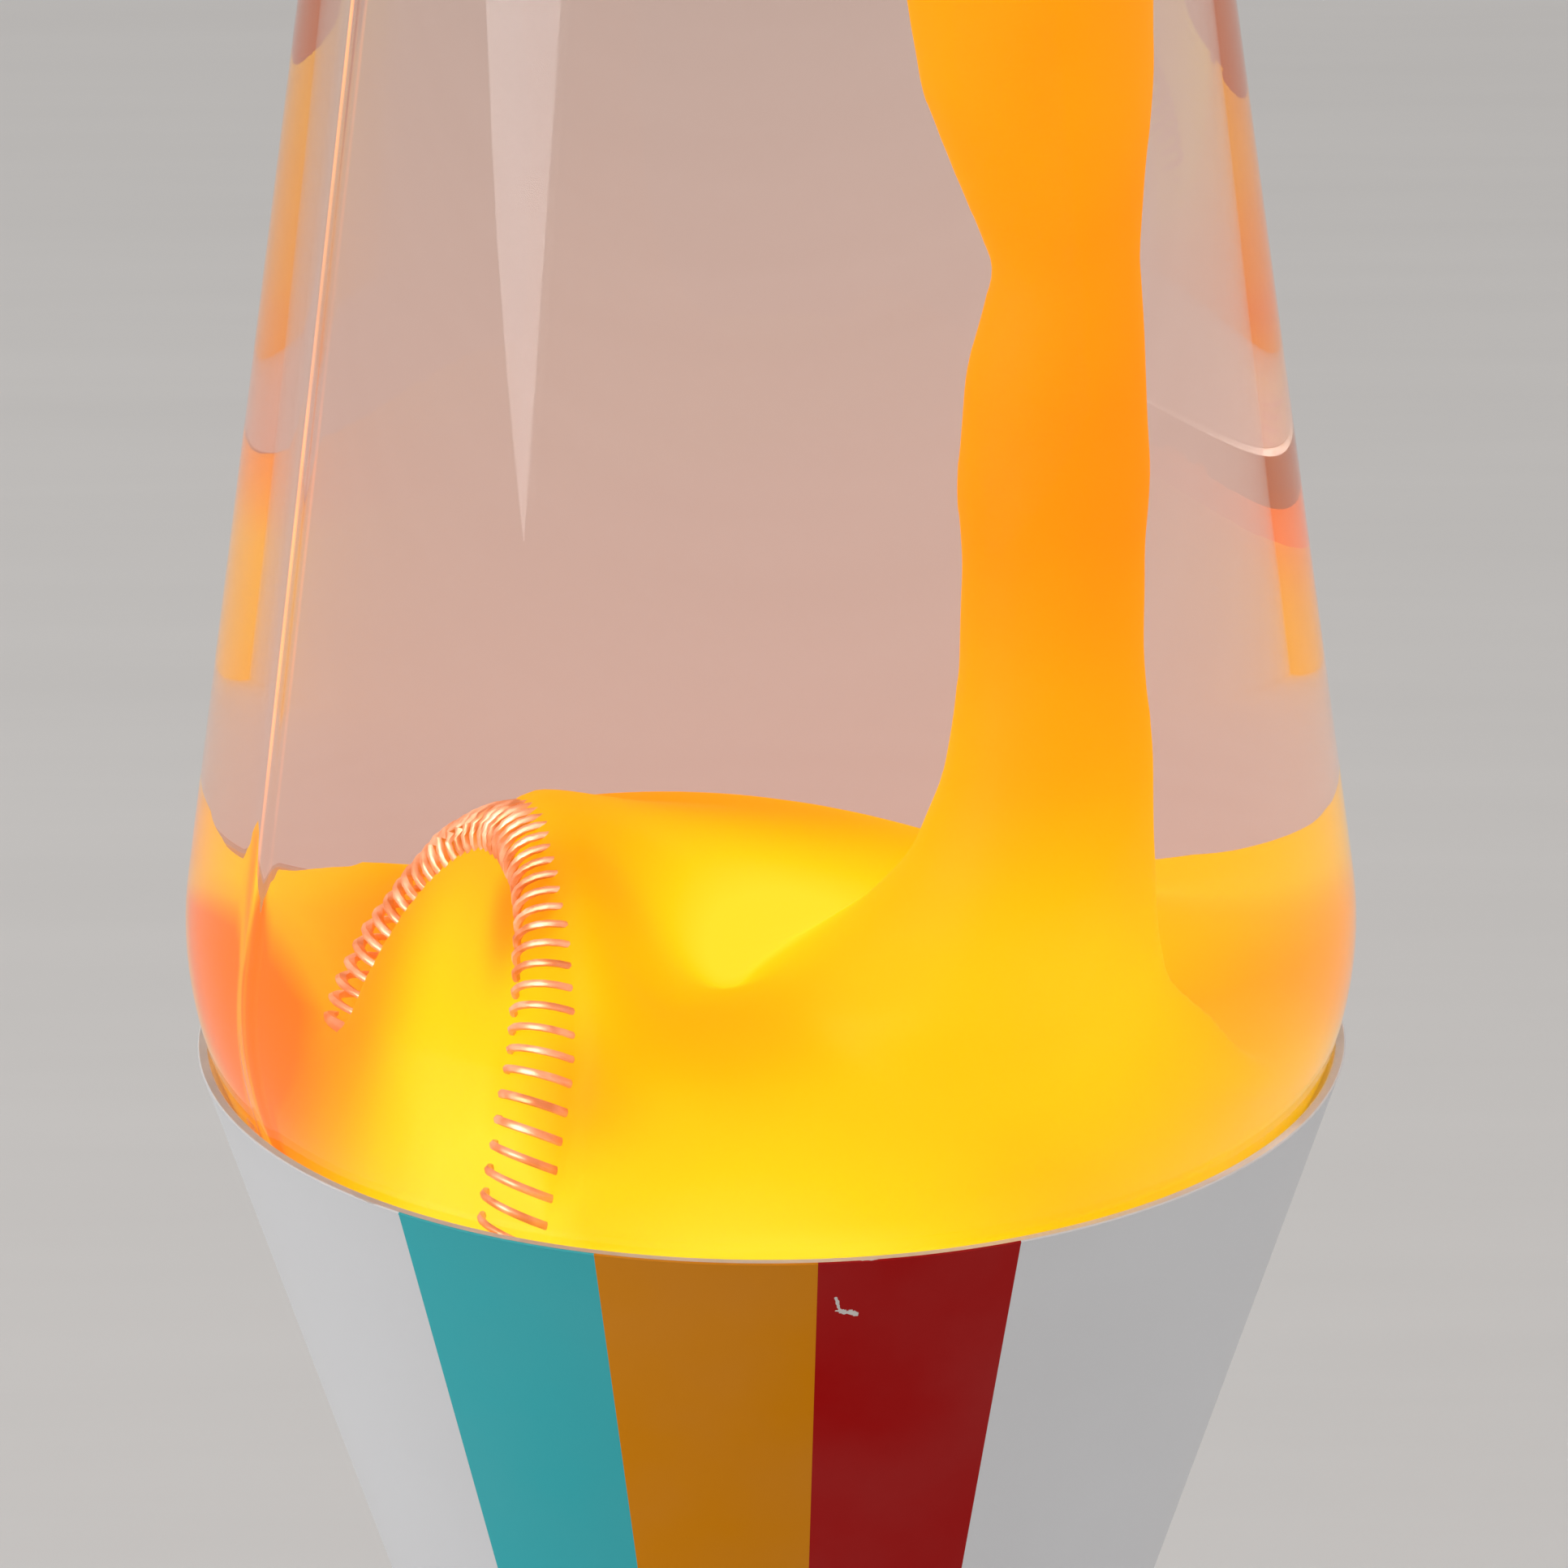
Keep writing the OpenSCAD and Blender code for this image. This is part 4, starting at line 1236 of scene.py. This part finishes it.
def lobe():
    """The lens of wax held inside the coil, as far as the middle of its turns."""
    turns, rows, reach, half = 96, 16, ring_axis_r + 0.0010, 0.0034
    points, faces = [coil_middle + coil_normal * half, coil_middle - coil_normal * half], []
    for i in range(1, rows + 1):
        share = i / rows
        thick = half * sqrt(max(1 - share ** 14, 0)) * (1.08 - 0.08 * share)
        for k in range(turns):
            a = 2 * pi * k / turns
            outward = (coil_along * cos(a) + coil_up * sin(a)) * reach * share
            for side in (1, -1):
                points.append(coil_middle + outward + coil_normal * thick * side)
    for k in range(turns):
        m = (k + 1) % turns
        faces.append((0, 2 + 2 * k, 2 + 2 * m))
        faces.append((1, 3 + 2 * m, 3 + 2 * k))
        for i in range(rows - 1):
            a, b = 2 + i * 2 * turns, 2 + (i + 1) * 2 * turns
            faces.append((a + 2 * k, b + 2 * k, b + 2 * m, a + 2 * m))
            faces.append((a + 1 + 2 * m, b + 1 + 2 * m, b + 1 + 2 * k, a + 1 + 2 * k))
        last = 2 + (rows - 1) * 2 * turns
        faces.append((last + 2 * k, last + 2 * k + 1, last + 2 * m + 1, last + 2 * m))
    return solid("wax_lobe", points, faces)


def melt_together(pieces, voxel, rounds):
    """Joins closed meshes into one skin, and softens the creases between them in rounds."""
    whole = joined("molten_wax", pieces)
    skin = whole.modifiers.new("skin", "REMESH")
    skin.mode = "VOXEL"
    skin.voxel_size = voxel
    soften = whole.modifiers.new("soften", "SMOOTH")
    soften.factor, soften.iterations = 0.5, rounds
    shown = whole.evaluated_get(bpy.context.evaluated_depsgraph_get())
    mesh = bpy.data.meshes.new_from_object(shown)
    whole.modifiers.clear()
    whole.data = mesh
    return whole


wax = melt_together([pool(), column(), lobe()], 0.0010, 7)
# Close to the glass the wax wets it, so its softened edge is drawn out to the wall
near_wall = 0.005
for vertex in wax.data.vertices:
    x, y, z = vertex.co
    limit = glass_radius(max(z, bottle_low.z + floor_t + 0.0005), wax_gap)
    r = hypot(x, y)
    wetting = stopped((r - limit + near_wall) / 0.0035) ** 2
    if r > limit - near_wall:
        wetted_r = min(r + wetting * (limit - r), limit)
        vertex.co.x, vertex.co.y = x * wetted_r / r, y * wetted_r / r
wax.data.shade_smooth()

# One soft spot of painted glow: 1 at a point and 0 beyond a reach, times its brightness. A spot with a
# brightness below 0 is painted shade.
glow, glow_in, glow_out = new_group(
    "glow_spot", [("Point", "Vector", None), ("Centre", "Vector", None), ("Reach", "Float", 0.03),
                  ("Heat", "Float", 0.5)], [("Heat", "Float")])
away = vector_node(glow, "DISTANCE", glow_in.outputs["Point"], glow_in.outputs["Centre"])
fade = math_node(glow, "DIVIDE", away, glow_in.outputs["Reach"])
fade = add_node(glow, "ShaderNodeMapRange", interpolation_type="SMOOTHERSTEP", i0=fade, i1=0.0, i2=1.0,
                i3=1.0, i4=0.0).outputs[0]
glow.links.new(math_node(glow, "MULTIPLY", fade, glow_in.outputs["Heat"]), glow_out.inputs["Heat"])

# Each spot is a centre in metres, a reach and a brightness: painted light above 0, painted shade below 0
glow_spots = [  # centre in metres, reach, heat
    ((0.000, -0.050, 0.165), 0.034, 0.48),
    ((-0.001, 0.000, 0.180), 0.022, 0.50),
    ((-0.022, -0.026, 0.160), 0.024, 0.30),
    ((0.018, -0.010, 0.182), 0.022, 0.16),
    ((-0.027, 0.028, 0.168), 0.028, -0.72),
    ((-0.037, 0.010, 0.163), 0.025, -0.38),
    ((0.030, 0.002, 0.172), 0.020, -0.14),
    ((-0.004, 0.014, 0.188), 0.018, -0.18),
    ((0.044, 0.018, 0.172), 0.026, -0.30),
    ((-0.016, 0.020, 0.184), 0.018, -0.20),
    ((-0.0180, -0.010, 0.188), 0.011, -0.38),
    ((-0.0160, -0.026, 0.176), 0.011, -0.30),
    ((-0.003, -0.023, 0.182), 0.013, -0.13),
]


def glowing_wax():
    """Wax with a painted glow as if lit from below, painted shade in spots, and clouds of brighter and
    duller wax.
    """
    material, shader = new_material("molten_wax_glow")
    tree = material.node_tree
    point = object_point(tree)
    z = level(tree, point)
    # Painted light: brightest low down, dimmer up the column, and a little brighter again higher up
    browning_and_glow = spread(tree, z, 0.182, 0.222, 0.56, 0.21)
    browning_and_glow = math_node(tree, "ADD", browning_and_glow, spread(tree, z, 0.225, 0.285, 0.0, 0.10))
    # Spots of painted light, and of painted shade where their brightness is below 0
    for centre, reach, amount in glow_spots:
        spot = use_group(tree, glow, Point=point, Centre=centre, Reach=reach, Heat=amount)
        browning_and_glow = math_node(tree, "ADD", browning_and_glow, spot.outputs["Heat"])
    # The lobe held in the coil is thin and painted bright, and the wax beyond it on the left gets painted
    # shade
    aside = math_node(tree, "SUBTRACT", vector_node(tree, "DOT_PRODUCT", point, coil_normal),
                      coil_middle.dot(coil_normal))
    lobe_glow = math_node(tree, "MULTIPLY", spread(tree, aside, -0.0060, -0.0030, 0.0, 1.0),
                          spread(tree, aside, -0.0020, 0.0025, 1.0, 0.0))
    browning_and_glow = math_node(tree, "MULTIPLY_ADD", lobe_glow, spread(tree, z, 0.188, 0.168, 0.0, 0.48), browning_and_glow)
    browning_and_glow = math_node(tree, "ADD", browning_and_glow, spread(tree, aside, -0.0100, -0.0030, -0.26, 0.0))
    # Slopes that face the front let more light out of the pool than its level top
    facing = add_node(tree, "ShaderNodeSeparateXYZ",
                      i0=tree.nodes.new("ShaderNodeNewGeometry").outputs["Normal"]).outputs[1]
    slope_glow = spread(tree, facing, -0.75, 0.1, 0.09, -0.02)
    low_down = spread(tree, z, 0.186, 0.200, 1.0, 0.0)
    browning_and_glow = math_node(tree, "MULTIPLY_ADD", slope_glow, low_down, browning_and_glow)
    clouds = noise_value(tree, point, 45.0, 2.0)
    browning_and_glow = math_node(tree, "ADD", browning_and_glow, spread(tree, clouds, 0.3, 0.7, -0.035, 0.035))
    colour = colour_ramp(tree, browning_and_glow, [
        (0.0, (1.0, 0.19, 0.0)), (0.2, (1.0, 0.31, 0.0)), (0.35, (1.0, 0.41, 0.0)),
        (0.55, (1.0, 0.56, 0.0)), (0.80, (1.0, 0.74, 0.004)), (1.0, (1.0, 0.87, 0.03))])
    give(material, shader, {
        "Base Color": (0.22, 0.05, 0.001), "Roughness": 0.55, "Specular IOR Level": 0.03,
        "Emission Color": colour, "Emission Strength": 1.06,
        "Normal": bump(tree, noise_value(tree, point, 120.0, 2.0), 0.1, 0.0004),
    })
    return material


wax_look = glowing_wax()
place(wax, "globe", "wax_mass", "glowing_wax", wax_look)

# ---- Free blob
# A round blob of the same wax that has broken away from the column's head. It cools,
# sinks, warms and rises again. At rest it hangs high up, to the left of the column.
blob_low, blob_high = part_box("wax_blob")
blob_middle = (blob_low + blob_high) / 2
blob_r = (blob_high.z - blob_low.z) / 2


def blob():
    """A ball with soft dents, within the CAD ball."""
    rows = 24
    outline = [(blob_r * sin(pi * i / rows), -blob_r * cos(pi * i / rows)) for i in range(rows + 1)]
    piece = lathe("wax_drop", outline, 48)
    for vertex in piece.data.vertices:
        dent = 0.94 + 0.06 * noise.noise(vertex.co / blob_r * 1.3)
        vertex.co = blob_middle + vertex.co * min(dent, 1.0)
    return piece


place(blob(), "drifting_wax", "wax_blob", "glowing_wax", wax_look)

# ---- Crown cap
# A crimped tinplate crown with twenty-one flutes, on a soft liner that seals the lip.
crown_low, crown_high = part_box("crown_cap")
flutes = 21


def crown():
    """The crown: a shallow disc, a rounded shoulder and a skirt that is crimped in flutes."""
    top_r, skirt_r, thick, drop_from, curve = neck_r, crown_high.x, 0.0003, 0.0008, 0.0012
    low, high = crown_low.z, crown_high.z
    drop = [(top_r + (skirt_r - top_r - 0.0004) * share,
             high - drop_from - (high - low - drop_from) * share)
            for share in (i / 10 for i in range(1, 11))]
    dish_in, dish_out = top_r * 0.75, top_r * 0.8
    outer = [(0, high - thick), (dish_in, high - thick), (dish_out, high),
             (top_r, high)] + arc(top_r, high - curve, curve, 80, 20, 5) + drop
    inner = [(r - thick, z) for r, z in reversed(drop)] + [
        (top_r, high - 0.0004), (dish_out, high - 0.0004), (dish_in, high - 0.0007), (0, high - 0.0007)]
    piece = lathe("crimped_crown", outer + inner, flutes * 16, False)
    for vertex in piece.data.vertices:
        x, y, z = vertex.co
        crimp = 0.0006 * stopped((high - 0.0015 - z) / 0.004)
        r = hypot(x, y)
        if r > 0:
            new_r = r - crimp * (0.5 - 0.5 * cos(flutes * atan2(y, x)))
            vertex.co.x, vertex.co.y = x * new_r / r, y * new_r / r
    return piece


tinplate = plain_metal("tinplate", (0.62, 0.62, 0.60), (0.82, 0.81, 0.79), 1200.0, 0.25)
place(crown(), "globe", "crown_cap", "tinplate", tinplate)


def soft_liner():
    """Milky soft plastic."""
    material, shader = new_material("liner_plastic")
    tree = material.node_tree
    cloud = noise_value(tree, object_point(tree), 200.0)
    give(material, shader, mottled(tree, cloud, (0.70, 0.70, 0.68), (0.82, 0.82, 0.80), 0.4, 0.55))
    return material


finish_node("crown_liner", soft_liner())

# ---- Top cap
# A spun aluminium cap that rests on the shoulder and hides the neck. It is painted
# like the base, and it lifts straight off.
cap_base, cap_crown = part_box("top_cap")
lid_r, lid_curve, lid_dish = 0.020, 0.0025, 0.0004
cap_lean = (cap_crown.x - lid_r) / (cap_crown.z - lid_curve - cap_base.z)


def top_cap():
    """The cap: a softened lower edge, a straight taper, and a round-edged top, a little dished."""
    low, high, outer_r, soft, rows = cap_base.z, cap_crown.z, cap_crown.x, 0.0004, 10
    rise, dish_r = high - lid_curve - low, lid_r * 0.6
    side = [(outer_r - cap_lean * rise * i / rows, low + rise * i / rows) for i in range(1, rows)]
    outline = (
        [(outer_r - wall + soft / 2, low), (outer_r - soft, low), (outer_r, low + soft)] + side
        + arc(lid_r - lid_curve, high - lid_curve, lid_curve, 8, 90, 10)
        + [(dish_r, high), (lid_r * 0.56, high - lid_dish), (0, high - lid_dish), (0, high - wall)]
        + [(dish_r, high - wall)] + arc(lid_r - lid_curve, high - lid_curve, lid_curve - wall, 90, 8, 6)
        + [(r - wall, z) for r, z in reversed(side)])
    return lathe("top_cap_shell", outline, 224)


cap_paint = painted("striped_paint_cap", cap_crown.x, cap_base.z, -cap_lean, cap_base.z, 0.0002, 0.1,
                    lid=cap_crown.z - wall * 0.6 - lid_dish)
place(top_cap(), "cap", "top_cap", "cap_paint", cap_paint)
